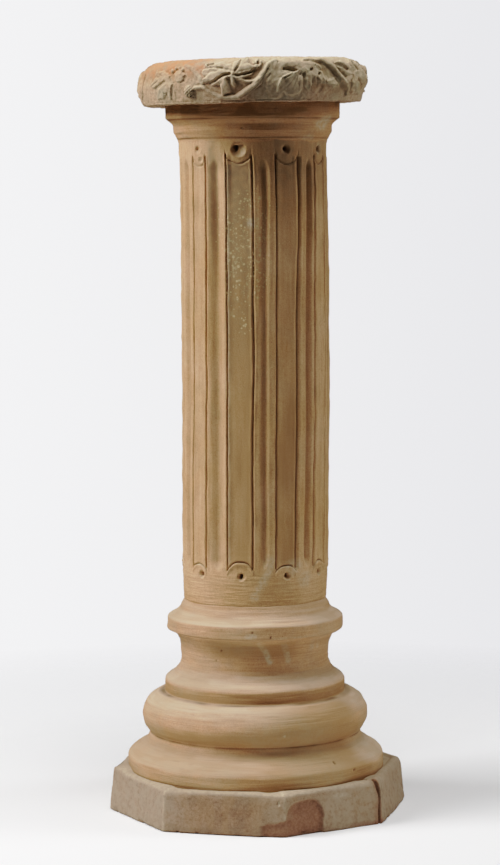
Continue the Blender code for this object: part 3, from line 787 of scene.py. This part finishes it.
def shaft(material):
    places, ends = panel_places(), panel_ends()
    busy = [(middle + side * half, 1.5, 1.5) for middle, half in places for side in (-1, 1)]
    busy += [(middle, 4, 0.6) for middle, _, _ in flutes(places)]
    piece = Surface("fluted_shaft", shaft_profile(), 600, crowded(busy))
    drawn = piece.turn
    piece.turn = (drawn + np.interp(drawn, LEAN_TURNS, LEAN_HEAD) * smooth(665, 825, piece.height)
                  + np.interp(drawn, LEAN_TURNS, LEAN_FOOT) * smooth(560, 430, piece.height))
    turn = piece.turn
    x, y, z = piece.flat()
    depth, painted_shade = shaft_relief(drawn, z, places, ends)
    holes = drilled_holes(turn, z, places)
    side = smooth(0, 5, z - SHAFT_FOOT) * smooth(0, 3, SHAFT_TOP - z)
    body = (0.40 * lumps(x, y, z / 3, 40, 21) + 0.22 * lumps(x, y, z / 6, 9, 22)
            + pits(x, y, z, ((40.3, 396.5, 2.6, 1.2), (-24.9, 542.5, 3, 1.6), (-4.4, 352.5, 2, 0.8),
                             (1, 300, 0.9, 0.8), (58, 775, 1.6, 1.2))))
    neck = smooth(334, 322, z)
    comb = 0.24 * neck * lumps(x / 9, y / 9, z, 1.7, 23)
    piece.carve((depth + holes + comb) * side + body + 1.6 * smooth(287, 282, z))
    # Painted shade in the lines, arcs and flutes, and in the holes' bores
    piece.paint("painted_shade", np.maximum(painted_shade, smooth(5.2, 9, holes)) * side)
    piece.paint("comb", 0.08 + 0.92 * neck)
    piece.paint("drawn", 1 - neck)

    # Lichen across the middle panel: a band, patches above it, fewer further up, and a thin spread beside it
    patchy = 0.5 * lumps(x, y, z, 16, 25) + 0.3 * lumps(x, y, z, 34, 27)
    lichen = within(turn, -9, -4, 14, 27) * (1.4 * bell(z - LICHEN_BAND - 5 * sway(turn, 9, 28), 10)
                                             + (0.78 + patchy) * within(z, 690, 704, 770, 840)
                                             + (0.28 + 0.8 * patchy) * within(z, 600, 660, 850, 872))
    thin = within(z, 480, 620, 850, 880) * within(turn, -30, -12, 22, 60)
    piece.paint("lichen", lichen + 0.62 * thin * smooth(-0.3, 0.5, lumps(x, y, z, 60, 24)))

    # Lime: splashes, a smear wiped by the foot and rings in the holes, with a painted highlight on the lit
    # lower right of the middle panel's top hole and a pale painted highlight along the middle panel's left
    # edge
    wiped = beside_path(turn, z, SHAFT_R, ((27, 346), (24, 326), (15, 298)), 12)[0]
    lime_and_highlight = spots(turn, z, SHAFT_R,
                 ((1, 13, 787, 6, 9), (0.8, 10.5, 790, 4, 3.5), (0.45, 47, 336, 18, 15),
                  (0.4, 58, 318, 18, 16), (0.7, 7.4, 880.5, 5.5, 7.5), (0.5, -28.8, 870, 4, 4)))
    halo = spots(turn, z, SHAFT_R, ((0.7, 76.5, 884, 8.5, 9.5),)) * smooth(0.6, 1.4, np.abs(holes - 2.6))
    pale_edge = 0.42 * bell(wrapped(drawn - places[0][0] + places[0][1]) * mm_per_degree(SHAFT_R) - 2.7, 1.4)
    piece.paint("lime_and_highlight", lime_and_highlight + 0.5 * smooth(9, 3, wiped) + halo + pale_edge * within(z, 340, 350, 856, 866))

    # Greyer patina high on the middle panel, beside it and on the right, and brown stains lower down
    middle_panel = within(turn, -9, -5, 12, 15) * smooth(868, 862, z)
    second_panel = within(turn, 30, 33, 47, 51)
    piece.paint("patina", 0.7 * middle_panel * smooth(560, 760, z)
                + 0.6 * within(turn, -23, -19.5, -17, -13.5) * smooth(690, 800, z)
                + 0.35 * second_panel * smooth(700, 840, z)
                + 0.35 * within(turn, 50, 56, 90, 100) * smooth(780, 860, z)
                + 0.18 * within(turn, -70, -30, 60, 90) * smooth(835, 872, z))
    above_neck = smooth(332, 345, z)
    stain_and_shade = 0.95 * middle_panel * smooth(760, 640, z) + second_panel * (0.35 + 0.6 * smooth(800, 480, z))
    piece.paint("grime", 0.22 * middle_panel * above_neck)
    piece.paint("stain_and_shade", stain_and_shade * above_neck * (0.85 + 0.35 * lumps(x, y, z / 4, 16, 26)))
    return piece.finished(material)


def spots(turn, z, radius, marks):
    """Oval patches on a piece of this radius, fading to 0 at their edges. Each mark is a strength, a turn, a
    height, and half its width and half its height in millimetres."""
    total = np.zeros(z.shape)
    for strength, at, height, half_width, half_height in marks:
        across = wrapped(turn - at) * mm_per_degree(radius)
        total += strength * smooth(1, 0.35, np.hypot(across / half_width, (z - height) / half_height))
    return total


def beside_path(turn, z, radius, path, reach):
    """from_path for a line on a piece of this radius, with its points given as turn and height."""
    mm = mm_per_degree(radius)
    return from_path(wrapped(turn) * mm, z, [(at * mm, height) for at, height in path], reach)


def foot(material):
    piece = Surface("foot_mouldings", softened(foot_profile(), 1.45, 1.3), 400)
    x, y, z = piece.flat()
    turn, along = piece.turn, piece.along
    turned = 0.26 * lumps(x / 12, y / 12, along, 3.1, 31) + 0.20 * lumps(x / 6, y / 6, along, 7, 32)
    hand = 0.55 * lumps(x, y, z, 55, 33) + 0.22 * lumps(x, y, z, 14, 34)
    holes = pits(x, y, z, ((-11, 226, 2, 1.6), (-16, 212, 1.4, 1.4), (25.2, 248, 1.9, 1.6),
                           (55, 83, 2.2, 1.6), (64, 71, 1.8, 1.6), (13.4, 254.5, 1.6, 1.6), (14, 251, 1, 1)))
    gouges = spots(turn, z, TORUS_R, [(0.5, at, height, 9, 1) for at, height in FOOT_GOUGES])
    piece.carve(turned + hand + holes + gouges)
    piece.paint("comb", np.ones(z.shape))

    # Lime that ran down the hollow, a chip in the ring above it and a splash on the torus
    drips = np.zeros(z.shape)
    for share, path in ((0.75, ((18.5, 238), (23, 226), (26.5, 212))),
                        (0.6, ((36.5, 236), (39.5, 224), (41.5, 212))),
                        (0.35, ((62, 236), (64, 226))), (0.3, ((70, 236), (71, 227)))):
        away, run = beside_path(turn, z, HOLLOW_R, path, 9)
        drips = np.maximum(drips, share * smooth(5.4, 2.2, away) * (0.35 + 0.65 * smooth(0.1, 0.9, run)))
    streak = 0.45 * bell(z - 245.5, 1.6) * within(turn, 24, 30, 50, 66)
    piece.paint("lime_and_highlight", drips + streak + spots(turn, z, RING_R, ((0.8, 12.5, 249.5, 11, 5),))
                + spots(turn, z, TORUS_R, ((1, 29.6, 122, 2.6, 2.6),)))
    piece.paint("patina", 0.35 * smooth(0.2, 0.9, lumps(x, y, z, 60, 35) + 0.3))

    # Painted shade: dark lines where one moulding meets the next and in the pits and gouges, and browner
    #     paint for shade under the torus and the ring, in the hollow, just above the torus, low down, on the
    #     right below the torus top and on the slope below the torus; beside it, brown streaks and a darker
    #     band at the top
    broken = 0.75 + 0.35 * lumps(x, y, z, 18, 36)
    lines = (0.9 * bell(z - TORUS_HIGH, 0.9) + bell(z - TORUS_LOW, 0.9) + 0.75 * bell(z - RING_LOW, 0.8)
             + 0.6 * smooth(59.5, 57, z) + 0.10 * smooth(120, 106, z) * smooth(103, 105, z))
    piece.paint("painted_shade", smooth(0.2, 1.4, holes + gouges) + lines * broken)
    shaded = within(turn, 12, 45, 62, 84) * smooth(165, 150, z)
    streaks = smooth(-0.1, 0.5, lumps(x / 5, y / 5, along, 6, 37))
    hollow = within(z, 212, 226, 234, 243) * within(turn, -34, -8, 34, 56)
    under = (1.3 * within(z, 106, 110, 118, 132) + 1.3 * hollow + within(z, 158, 160, 172, 175)
             + 0.8 * smooth(76, 66, z))
    # Painted shade on the slope below the torus, and a darker band at the top of the foot
    darker_below_torus_and_top = 1.4 * within(z, 70, 78, 96, 102) * smooth(52, 28, turn) + 0.5 * smooth(262, 266, z)
    piece.paint("stain_and_shade", 1.1 * shaded + 0.25 * streaks + 0.75 * under + 0.4 * darker_below_torus_and_top)
    return piece.finished(material)


def corner_gap(turn):
    """Degrees from the nearest corner of the plinth."""
    return np.abs((wrapped(turn) + 360) % PLINTH_SIDE - PLINTH_SIDE / 2)


def octagon(turn):
    """How much further out a flat-sided block reaches at this turn than at the middle of a side, with its
    corners a little round."""
    off = np.abs((wrapped(turn) + PLINTH_SIDE / 2) % PLINTH_SIDE - PLINTH_SIDE / 2)
    corner = np.radians(PLINTH_SIDE / 2)
    soft = CORNER_SOFTNESS / (PLINTH_FLATS / 2)
    from_corner = corner - np.radians(off)
    blunt = soft * np.exp(-from_corner / (soft * 1.4)) * 0.32
    return 1 / np.cos(np.radians(off)) - blunt


def plinth(material):
    busy = ((69.9, 1.6, 9), (111, 2.2, 4), (35, 12, 0.6))
    piece = Surface("plinth", plinth_profile(1.25), 900, crowded(busy))
    turn, outline_height = piece.turn, piece.height.copy()
    half = PLINTH_FLATS / 2
    mm = mm_per_degree(half)
    top_edge = (piece.radius - half + PLINTH_DRAFT) ** 2 + (piece.height - PLINTH_HEIGHT) ** 2
    from_edge = piece.along - piece.along[np.argmin(top_edge)]
    squared = turn - np.interp(turn, TWIST_TURNS, TWIST)
    reach = octagon(squared)
    piece.radius = piece.radius * reach
    x, y, z = piece.flat()
    upright = smooth(170, 178, piece.radius / reach)
    hand = 0.7 * lumps(x, y, z, 45, 51) + 0.35 * lumps(x, y, z, 13, 52) + 0.15 * lumps(x, y, z, 4, 53)
    worn_top = 2.2 * smooth(0.2, 1, lumps(x, y, z, 30, 54)) * smooth(46, 56, z)
    chipped = (2.4 * smooth(0.15, 0.8, lumps(x, y, z, 9, 55)) * smooth(6.5, 0, z)
               * smooth(-1.5, 1, 3 * lumps(x, y, z, 20, 62) + 1))
    ragged = 1.2 * lumps(x, y, z, 9, 56) + 0.7 * lumps(x, y, z, 4, 57)
    # The large spall: an arch of lost clay by the front right, with a rough floor
    a = wrapped(turn - 35) * mm / reach
    arch = (np.abs(a - 1) / (27 - 3 * smooth(22, 16, z))) ** 3 + np.maximum((z - 14) / 31, 0) ** 3
    inside = smooth(1.12, 0.86, arch + 0.03 * ragged)
    left_fade = smooth(-27, -12, a)
    spall = 3.3 * inside * (0.45 + 0.55 * left_fade) + 0.5 * inside * ragged
    # The lower one, round the corner to its left
    b = wrapped(turn - 21) * mm / reach
    brow = 16 + 0.22 * (b + 14) + 0.8 * ragged
    wedge = smooth(0, 2.6, brow - z) * within(b, -15.5, -8, 24, 32)
    spall = spall + 2.8 * wedge * (1 - 0.6 * inside)
    # The crack by the right corner, and the hairline beyond
    opened = beside_path(turn, z, half, CRACK, 9)[0]
    gape = np.interp(z, CRACK_HEIGHTS, CRACK_WIDTHS)
    redder = within(turn, 63, 67, 70.5, 72) * smooth(12, 3, opened)
    crack = 12 * (1 - smooth(0.8, 1.05, opened / gape))
    flare = 1.3 * (1 - smooth(0, 6, np.hypot(wrapped(turn - 69.6) * mm, (z - 55) * 0.8)))
    hair = beside_path(turn, z, half, ((108.5, 24), (110.5, 17), (113.4, 6), (111.5, -2)), 8)[0]
    hairline = 2.2 * (1 - smooth(0.2, 1.1, hair))
    nick = pits(x, y, z, ((24, 44, 2.4, 1.6), (24.1, 47, 1.6, 1.2), (57.5, 43, 1.8, 1.2)))
    pushed = PLINTH_PUSH * within(turn, 20, 88, 128, 170) * np.interp(z, (0, 56), (1, 0.55))
    rolled = 1.4 * bell(from_edge, 3.6)
    piece.carve((hand + chipped + spall + hairline - pushed) * upright + worn_top + rolled + flare + nick
                + crack * smooth(165, 171, piece.radius / reach))
    raised = PLINTH_RAISED * within(turn, -150, -125, -64, -55) * smooth(44, 55, z)
    piece.height = np.where(outline_height < 0.01, 0, np.maximum(piece.height + raised, 0))

    # Bare red clay in the spalls, the crack and the chips
    low_red = smooth(9, 0, z) * within(turn, 52, 62, 70, 74) + 0.7 * redder
    chips = 0.55 * smooth(0.6, 1.5, chipped) * smooth(7, 2, z)
    spalled = inside * left_fade * (0.4 + 0.6 * smooth(47, 36, z + ragged))
    piece.paint("bare", (spalled + 0.9 * wedge + 0.8 * low_red + chips + 0.9 * smooth(0.4, 1.1, flare)
                         + smooth(0.5, 3, crack)) * upright)
    # Painted shade in the crack and the hairline, and along the bottom edge
    piece.paint("painted_shade", 2 * smooth(0.5, 4, crack) + 0.6 * smooth(0.4, 1.6, hairline)
                + 0.75 * smooth(2.6, 0.8, z) * upright)
    # Lime on the worn edges, patina on the outer sides, and dirt splashed up from the ground
    corners = 0.4 * bell(corner_gap(squared), 0.5) * smooth(58, 50, np.abs(turn)) * (1 - wedge)
    piece.paint("lime_and_highlight", corners + 0.35 * smooth(50.5, 54, z) * smooth(70, 60, np.abs(turn))
                + spots(turn, z, 190, ((1, 24, 44, 1.6, 4.6), (0.45, 52, 45, 16, 4))))
    patina = 0.42 + 0.3 * lumps(x, y, z, 50, 58) + spots(turn, z, 190, ((0.2, 28, 44, 12, 12),))
    patina = patina + 0.5 * smooth(40, 55, turn) + 0.6 * smooth(-20, -26, turn)
    piece.paint("patina", patina * (1 - inside))
    piece.paint("comb", np.full(z.shape, 0.35))
    piece.paint("stain_and_shade", 0.22 * smooth(0, 0.6, lumps(x, y, z / 3, 9, 60)) * upright)
    mottled = smooth(16, 0, z) * smooth(-0.2, 0.5, lumps(x, y, z, 12, 59))
    grime = (smooth(14, 0, z) * (0.5 + 0.7 * mottled) + 0.6 * smooth(3, 0.5, z)
             + 0.12 * smooth(0.1, 0.7, lumps(x, y, z / 2, 14, 61)) + 0.5 * inside * smooth(26, 10, z)
             + 0.4 * smooth(32, 4, z))
    piece.paint("grime", grime * upright)
    return piece.finished(material)


# Materials

def tint(code):
    """An sRGB hex colour as linear values."""
    parts = [int(code[i:i + 2], 16) / 255 for i in (1, 3, 5)]
    linear = [p / 12.92 if p <= 0.04045 else ((p + 0.055) / 1.055) ** 2.4 for p in parts]
    return (*linear, 1)


def add(tree, kind, links=None, **settings):
    """Adds a node. Each link is for the input of that name or number: a value, another node's socket, or
    another node, which stands for its first output."""
    node = tree.nodes.new("ShaderNode" + kind)
    for name, value in settings.items():
        setattr(node, name, value)
    for name, value in (links or {}).items():
        socket = node.inputs[name]
        if isinstance(value, bpy.types.Node):
            value = value.outputs[0]
        if isinstance(value, bpy.types.NodeSocket):
            tree.links.new(value, socket)
        else:
            socket.default_value = value
    return node


# Colours of the clay where it is worn, stained or dirty, of painted shade in its cuts and creases and under
# its overhangs, of lime and painted highlights, and of what grows on it
WHITE, BLACK, UMBER = "#FFFFFF", "#000000", "#1A0E04"
GRIT, DIRT, STAIN_AND_SHADE, PINK_CLAY, PAINTED_SHADE_BROWN = "#5A3A20", "#6E5846", "#9E7C57", "#AD7853", "#523A20"
BROKEN_CLAY, BROKEN_CLAY_PALE = "#80614C", "#8C6D58"
LIME_AND_HIGHLIGHT, LICHEN, LICHEN_CRUST = "#CDBFA3", "#D2BD90", "#C6B48A"

# The finishes, the painted shade and the painted highlights that are painted on the pieces
PAINTED_VALUES = ("comb", "drawn", "grime", "stain_and_shade", "pink", "patina", "painted_shade", "bare", "lime_and_highlight", "lichen")

# Uneven patterns, each with its size in millimetres and its detail
PATTERNS = {"clouds": (70, 2), "dust": (30, 4), "blotches": (24, 4), "gritty places": (16, 1),
            "pink edges": (9, 4), "patina edges": (8, 4), "lime edges": (5, 4), "streaks": (4.5, 3),
            "sandiness": (4, 4), "crusts": (4, 4), "broken clay": (3, 3), "pores": (1.6, 3),
            "grain": (1.5, 2), "turning lines": (1.4, 2)}
EVEN, ROUGHNESS = (1, 1, 1), 0.55
ROUGHER = {"sandiness": 0.7}
# A tool was drawn up and down the shaft, so its streaks are upright. Turning lines run level round the column
STRETCHED = {"streaks": (1, 1, 0.07), "turning lines": (0.035, 0.035, 1)}
GRIT_SPACING = 9
# Lichen dots: how far apart they are in millimetres, and the share of places that stay bare
LICHEN_DOTS = {"large dots": (7, 0.42), "middling dots": (5.2, 0.40), "small dots": (3.8, 0.34)}
DOT_REACH = 0.46


def fired_terracotta(name, clay, ochre, grime, dust, patina, upward=0.85, mottle=0.25):
    """Unglazed earthenware, thrown and tooled, then left out of doors: it scatters light evenly, has sandy
    grain, turning lines, paler dust and bloom on what faces up, and painted brown shade in its cuts and
    creases."""
    material = bpy.data.materials.new(name)
    material.use_nodes = True
    tree = material.node_tree
    tree.nodes.clear()
    place = add(tree, "TexCoord").outputs["Object"]

    source = {}
    for painted_name in PAINTED_VALUES:
        source[painted_name] = add(tree, "Attribute", attribute_name=painted_name).outputs["Fac"]
    for pattern, (size_mm, detail) in PATTERNS.items():
        mapped = add(tree, "Mapping", {"Vector": place, "Scale": STRETCHED.get(pattern, EVEN)})
        noise = {"Vector": mapped, "Scale": 1 / (size_mm * MM), "Detail": detail,
                 "Roughness": ROUGHER.get(pattern, ROUGHNESS)}
        source[pattern] = add(tree, "TexNoise", noise)
    normal = add(tree, "NewGeometry").outputs["Normal"]
    source["facing up"] = add(tree, "SeparateXYZ", {0: normal}).outputs["Z"]
    source["grit"] = add(tree, "TexVoronoi", {"Vector": place, "Scale": 1 / (GRIT_SPACING * MM)})
    for dots, (size_mm, bare) in LICHEN_DOTS.items():
        crust = add(tree, "TexVoronoi", {"Vector": place, "Scale": 1 / (size_mm * MM)})
        chance = add(tree, "SeparateXYZ", {0: crust.outputs["Color"]})
        grown = add(tree, "MapRange", {"Value": chance, "From Min": bare, "To Max": DOT_REACH})
        reach = add(tree, "Math", {0: grown, 1: source["lichen"]}, operation="MULTIPLY")
        source[dots] = add(tree, "Math", {0: reach, 1: crust.outputs["Distance"]}, operation="SUBTRACT")
    pale = add(tree, "MapRange", {"Value": source["broken clay"], "From Min": 0.4, "From Max": 0.6})
    broken = add(tree, "Mix", {0: pale, 6: tint(BROKEN_CLAY), 7: tint(BROKEN_CLAY_PALE)},
                 data_type="RGBA").outputs[2]

    # Each layer is a colour and the patterns and painted values that its strength is multiplied from, each
    # with the
    #     range that is read and the range it becomes. White, black and umber lighten or darken what is under
    #     them
    layers = [
        (ochre, ("clouds", 0.36, 0.66, 0, 1)),
        (grime, ("blotches", 0.46, 0.74, 0, 0.55)),
        (WHITE, ("turning lines", 0.48, 0.70, 0, 0.17), ("comb", 0, 1, 0, 1)),
        (BLACK, ("turning lines", 0.50, 0.28, 0, 0.22), ("comb", 0, 1, 0, 1)),
        (WHITE, ("sandiness", 0.50, 0.72, 0, 0.5 * mottle)),
        (UMBER, ("sandiness", 0.48, 0.30, 0, 0.7 * mottle)),
        (WHITE, ("grain", 0.50, 0.80, 0, 0.30)),
        (UMBER, ("grain", 0.46, 0.22, 0, 0.38)),
        (WHITE, ("streaks", 0.50, 0.75, 0, 0.22), ("drawn", 0, 1, 0, 1)),
        (UMBER, ("streaks", 0.48, 0.28, 0, 0.26), ("drawn", 0, 1, 0, 1)),
        (GRIT, ("grit", 0.10, 0.05, 0, 0.5), ("gritty places", 0.52, 0.60, 0, 1)),
        (dust, ("facing up", 0.18, 0.80, 0, upward), ("dust", 0.25, 0.62, 0.70, 1)),
        (DIRT, ("grime", 0, 1, 0, 0.55)),
        # Real stains on the shaft, plinth and slab, and painted shade on the foot and the capital
        (STAIN_AND_SHADE, ("stain_and_shade", 0, 1, 0, 0.75)),
        (PINK_CLAY, ("pink", 0, 1, 0, 1), ("pink edges", 0.38, 0.60, 0.1, 1)),
        (patina, ("patina", 0, 1, 0, 1), ("patina edges", 0.36, 0.60, 0.45, 0.95)),
        # Painted shade in cuts, grooves, holes, creases and under overhangs
        (PAINTED_SHADE_BROWN, ("painted_shade", 0, 1, 0, 0.72)),
        (broken, ("bare", 0, 1, 0, 1)),
        # Lime, and on the shaft two painted highlights: in the middle top hole's bowl and along the middle
        # panel's left edge
        (LIME_AND_HIGHLIGHT, ("lime_and_highlight", 0, 1, 0, 1), ("lime edges", 0.36, 0.62, 0.15, 0.85)),
        *((LICHEN, (dots, 0, 0.16, 0, 0.8)) for dots in LICHEN_DOTS),
        (LICHEN_CRUST, ("crusts", 0.57, 0.64, 0, 0.55), ("lichen", 0.55, 1, 0, 1)),
    ]
    colour = tint(clay)
    for over, *parts in layers:
        amount = 1
        for part, low, high, least, most in parts:
            strength = add(tree, "MapRange", {"Value": source[part], "From Min": low, "From Max": high,
                                              "To Min": least, "To Max": most})
            amount = add(tree, "Math", {0: amount, 1: strength}, operation="MULTIPLY")
        blend = "SOFT_LIGHT" if over in (WHITE, BLACK, UMBER) else "MIX"
        laid = {0: amount, 6: colour, 7: tint(over) if isinstance(over, str) else over}
        colour = add(tree, "Mix", laid, data_type="RGBA", blend_type=blend).outputs[2]

    combed = add(tree, "Math", {0: source["turning lines"], 1: source["comb"]}, operation="MULTIPLY")
    height = add(tree, "Math", {0: source["pores"], 1: 0.6, 2: combed}, operation="MULTIPLY_ADD")
    bump = add(tree, "Bump", {"Height": height, "Strength": 0.7, "Distance": 0.9 * MM})
    matt = add(tree, "MapRange", {"Value": source["grain"], "From Min": 0.3, "From Max": 0.7, "To Min": 0.84,
                                  "To Max": 0.95})
    shader = add(tree, "BsdfPrincipled", {"Base Color": colour, "Normal": bump, "Roughness": matt,
                                          "IOR": 1.45, "Specular IOR Level": 0.18})
    add(tree, "OutputMaterial", {"Surface": shader})
    return material


# The studio, laid out as the camera sees it

CAMERA_TURN = 15.4
RIGHTWARD = Vector((math.cos(math.radians(CAMERA_TURN)), math.sin(math.radians(CAMERA_TURN)), 0.0))
AWAY = Vector((-RIGHTWARD.y, RIGHTWARD.x, 0.0))
PHOTO_HEIGHT = 865
FOCAL_PIXELS = 2660.0
SENSOR = 36.0
CAMERA_PITCH, CAMERA_ROLL = 5.297, -0.405
CAMERA_PLACE = (-0.0063, -3.5552, 0.8363)

# Each softbox as its place, where it is aimed, its width and height in metres, and its watts
SOFTBOXES = {
    "left softbox": ((-1.95, -0.42, 2.15), (0, 0, 0.8), 1.3, 1.2, 54.0),
    "right softbox": ((2.2, 0.1, 1.6), (0, 0, 0.7), 0.8, 1.4, 15.0),
    "top softbox": ((0.15, -0.55, 2.9), (0, 0, 0.5), 1.2, 0.9, 28.0),
}

FLOOR_REACH, FLOOR_FADE = 1.3, 0.55
PAPER = "#F6F6F7"
BACKDROP_LEFT, BACKDROP_RIGHT, BACKDROP_HALF = "#E6E6E8", "#D8D8DB", 0.09
ROOM_LIGHT = 0.012

# How bright each light comes out, from black to white
TONE_CURVE = ((0.0, 0.0), (0.0095, 0.0065), (0.0238, 0.0225), (0.0476, 0.058), (0.119, 0.198), (0.238, 0.364),
              (0.41, 0.577), (0.571, 0.705), (0.75, 0.865), (1.0, 1.0))


def in_studio(rightward, away, height):
    return RIGHTWARD * rightward + AWAY * away + Vector((0, 0, height))


def camera():
    lens = bpy.data.cameras.new("camera")
    lens.sensor_width = SENSOR
    lens.lens = FOCAL_PIXELS / PHOTO_HEIGHT * SENSOR
    pitch, roll = math.radians(CAMERA_PITCH), math.radians(CAMERA_ROLL)
    ahead = AWAY * math.cos(pitch) - Vector((0, 0, math.sin(pitch)))
    top = RIGHTWARD.cross(ahead)
    right = RIGHTWARD * math.cos(roll) + top * math.sin(roll)
    top = right.cross(ahead)
    turned = Matrix((right, top, -ahead)).transposed()
    eye = bpy.data.objects.new("camera", lens)
    eye.matrix_world = Matrix.Translation(in_studio(*CAMERA_PLACE)) @ turned.to_4x4()
    bpy.context.scene.collection.objects.link(eye)
    bpy.context.scene.camera = eye


def softbox(name, place, aim, width, height, watts):
    light = bpy.data.lights.new(name, "AREA")
    light.shape = "RECTANGLE"
    light.size, light.size_y = width, height
    light.energy = watts
    lamp = bpy.data.objects.new(name, light)
    lamp.location = in_studio(*place)
    lamp.rotation_euler = (lamp.location - in_studio(*aim)).to_track_quat("Z", "Y").to_euler()
    bpy.context.scene.collection.objects.link(lamp)


def floor():
    """A disc of pale paper that melts into the backdrop at its edge."""
    shape = bmesh.new()
    bmesh.ops.create_circle(shape, cap_ends=True, segments=96, radius=FLOOR_REACH)
    mesh = bpy.data.meshes.new("floor")
    shape.to_mesh(mesh)
    shape.free()
    paper = bpy.data.materials.new("matt backdrop paper")
    paper.use_nodes = True
    tree = paper.node_tree
    tree.nodes.clear()
    place = add(tree, "TexCoord").outputs["Object"]
    far = add(tree, "VectorMath", {0: place}, operation="LENGTH").outputs["Value"]
    fade = add(tree, "MapRange", {"Value": far, "From Min": FLOOR_FADE, "From Max": FLOOR_REACH})
    sheet = add(tree, "BsdfDiffuse", {"Color": tint(PAPER)})
    mixed = add(tree, "MixShader", {0: fade, 1: sheet, 2: add(tree, "BsdfTransparent")})
    add(tree, "OutputMaterial", {"Surface": mixed})
    mesh.materials.append(paper)
    ground = bpy.data.objects.new("floor", mesh)
    bpy.context.scene.collection.objects.link(ground)


def surroundings():
    """A pale backdrop for the camera, and a dim room for everything else."""
    world = bpy.data.worlds.new("studio")
    bpy.context.scene.world = world
    world.use_nodes = True
    tree = world.node_tree
    tree.nodes.clear()
    way = add(tree, "TexCoord").outputs["Generated"]
    across = add(tree, "VectorMath", {0: way, 1: RIGHTWARD}, operation="DOT_PRODUCT").outputs["Value"]
    share = add(tree, "MapRange", {"Value": across, "From Min": -BACKDROP_HALF, "From Max": BACKDROP_HALF})
    paper = add(tree, "Mix", {0: share, 6: tint(BACKDROP_LEFT), 7: tint(BACKDROP_RIGHT)}, data_type="RGBA")
    seen = add(tree, "Background", {"Color": paper.outputs[2], "Strength": 1})
    room = add(tree, "Background", {"Color": tint(WHITE), "Strength": ROOM_LIGHT})
    rays = add(tree, "LightPath").outputs["Is Camera Ray"]
    mixed = add(tree, "MixShader", {0: rays, 1: room, 2: seen})
    add(tree, "OutputWorld", {"Surface": mixed})


def tone():
    """The photograph's tone curve: shadows deepened, highlights held back, each colour alike."""
    view = bpy.context.scene.view_settings
    view.view_transform = "Standard"
    view.use_curve_mapping = True
    line = view.curve_mapping.curves[3]
    while len(line.points) > 2:
        line.points.remove(line.points[1])
    line.points[0].location = TONE_CURVE[0]
    line.points[1].location = TONE_CURVE[-1]
    for x, y in TONE_CURVE[1:-1]:
        line.points.new(x, y)
    view.curve_mapping.update()


camera()
for name, settings in SOFTBOXES.items():
    softbox(name, *settings)
surroundings()
tone()
floor()

# Each clay in its main colour, its ochre, its dirt, its dust and its patina
plinth(fired_terracotta("weathered terracotta of the plinth",
                        "#987A64", "#866A54", "#746353", "#9E8F79", "#9E8C76", mottle=0.6))
foot(fired_terracotta("terracotta of the foot", "#C29A76", "#BA906A", "#AC8E73", "#C0AB92", "#A89678"))
shaft(fired_terracotta("terracotta of the shaft", "#C6A07A", "#BD966C", "#AD8F69", "#C6B090", "#8C785E"))
capital(fired_terracotta("terracotta of the capital", "#C39A74", "#BE936A", "#AE9274", "#C0AC92", "#A6967A"))
vine_slab(fired_terracotta("weathered terracotta of the slab",
                           "#BFA084", "#B29678", "#988468", "#B8A88E", "#AFA185", upward=0.5, mottle=0.8))
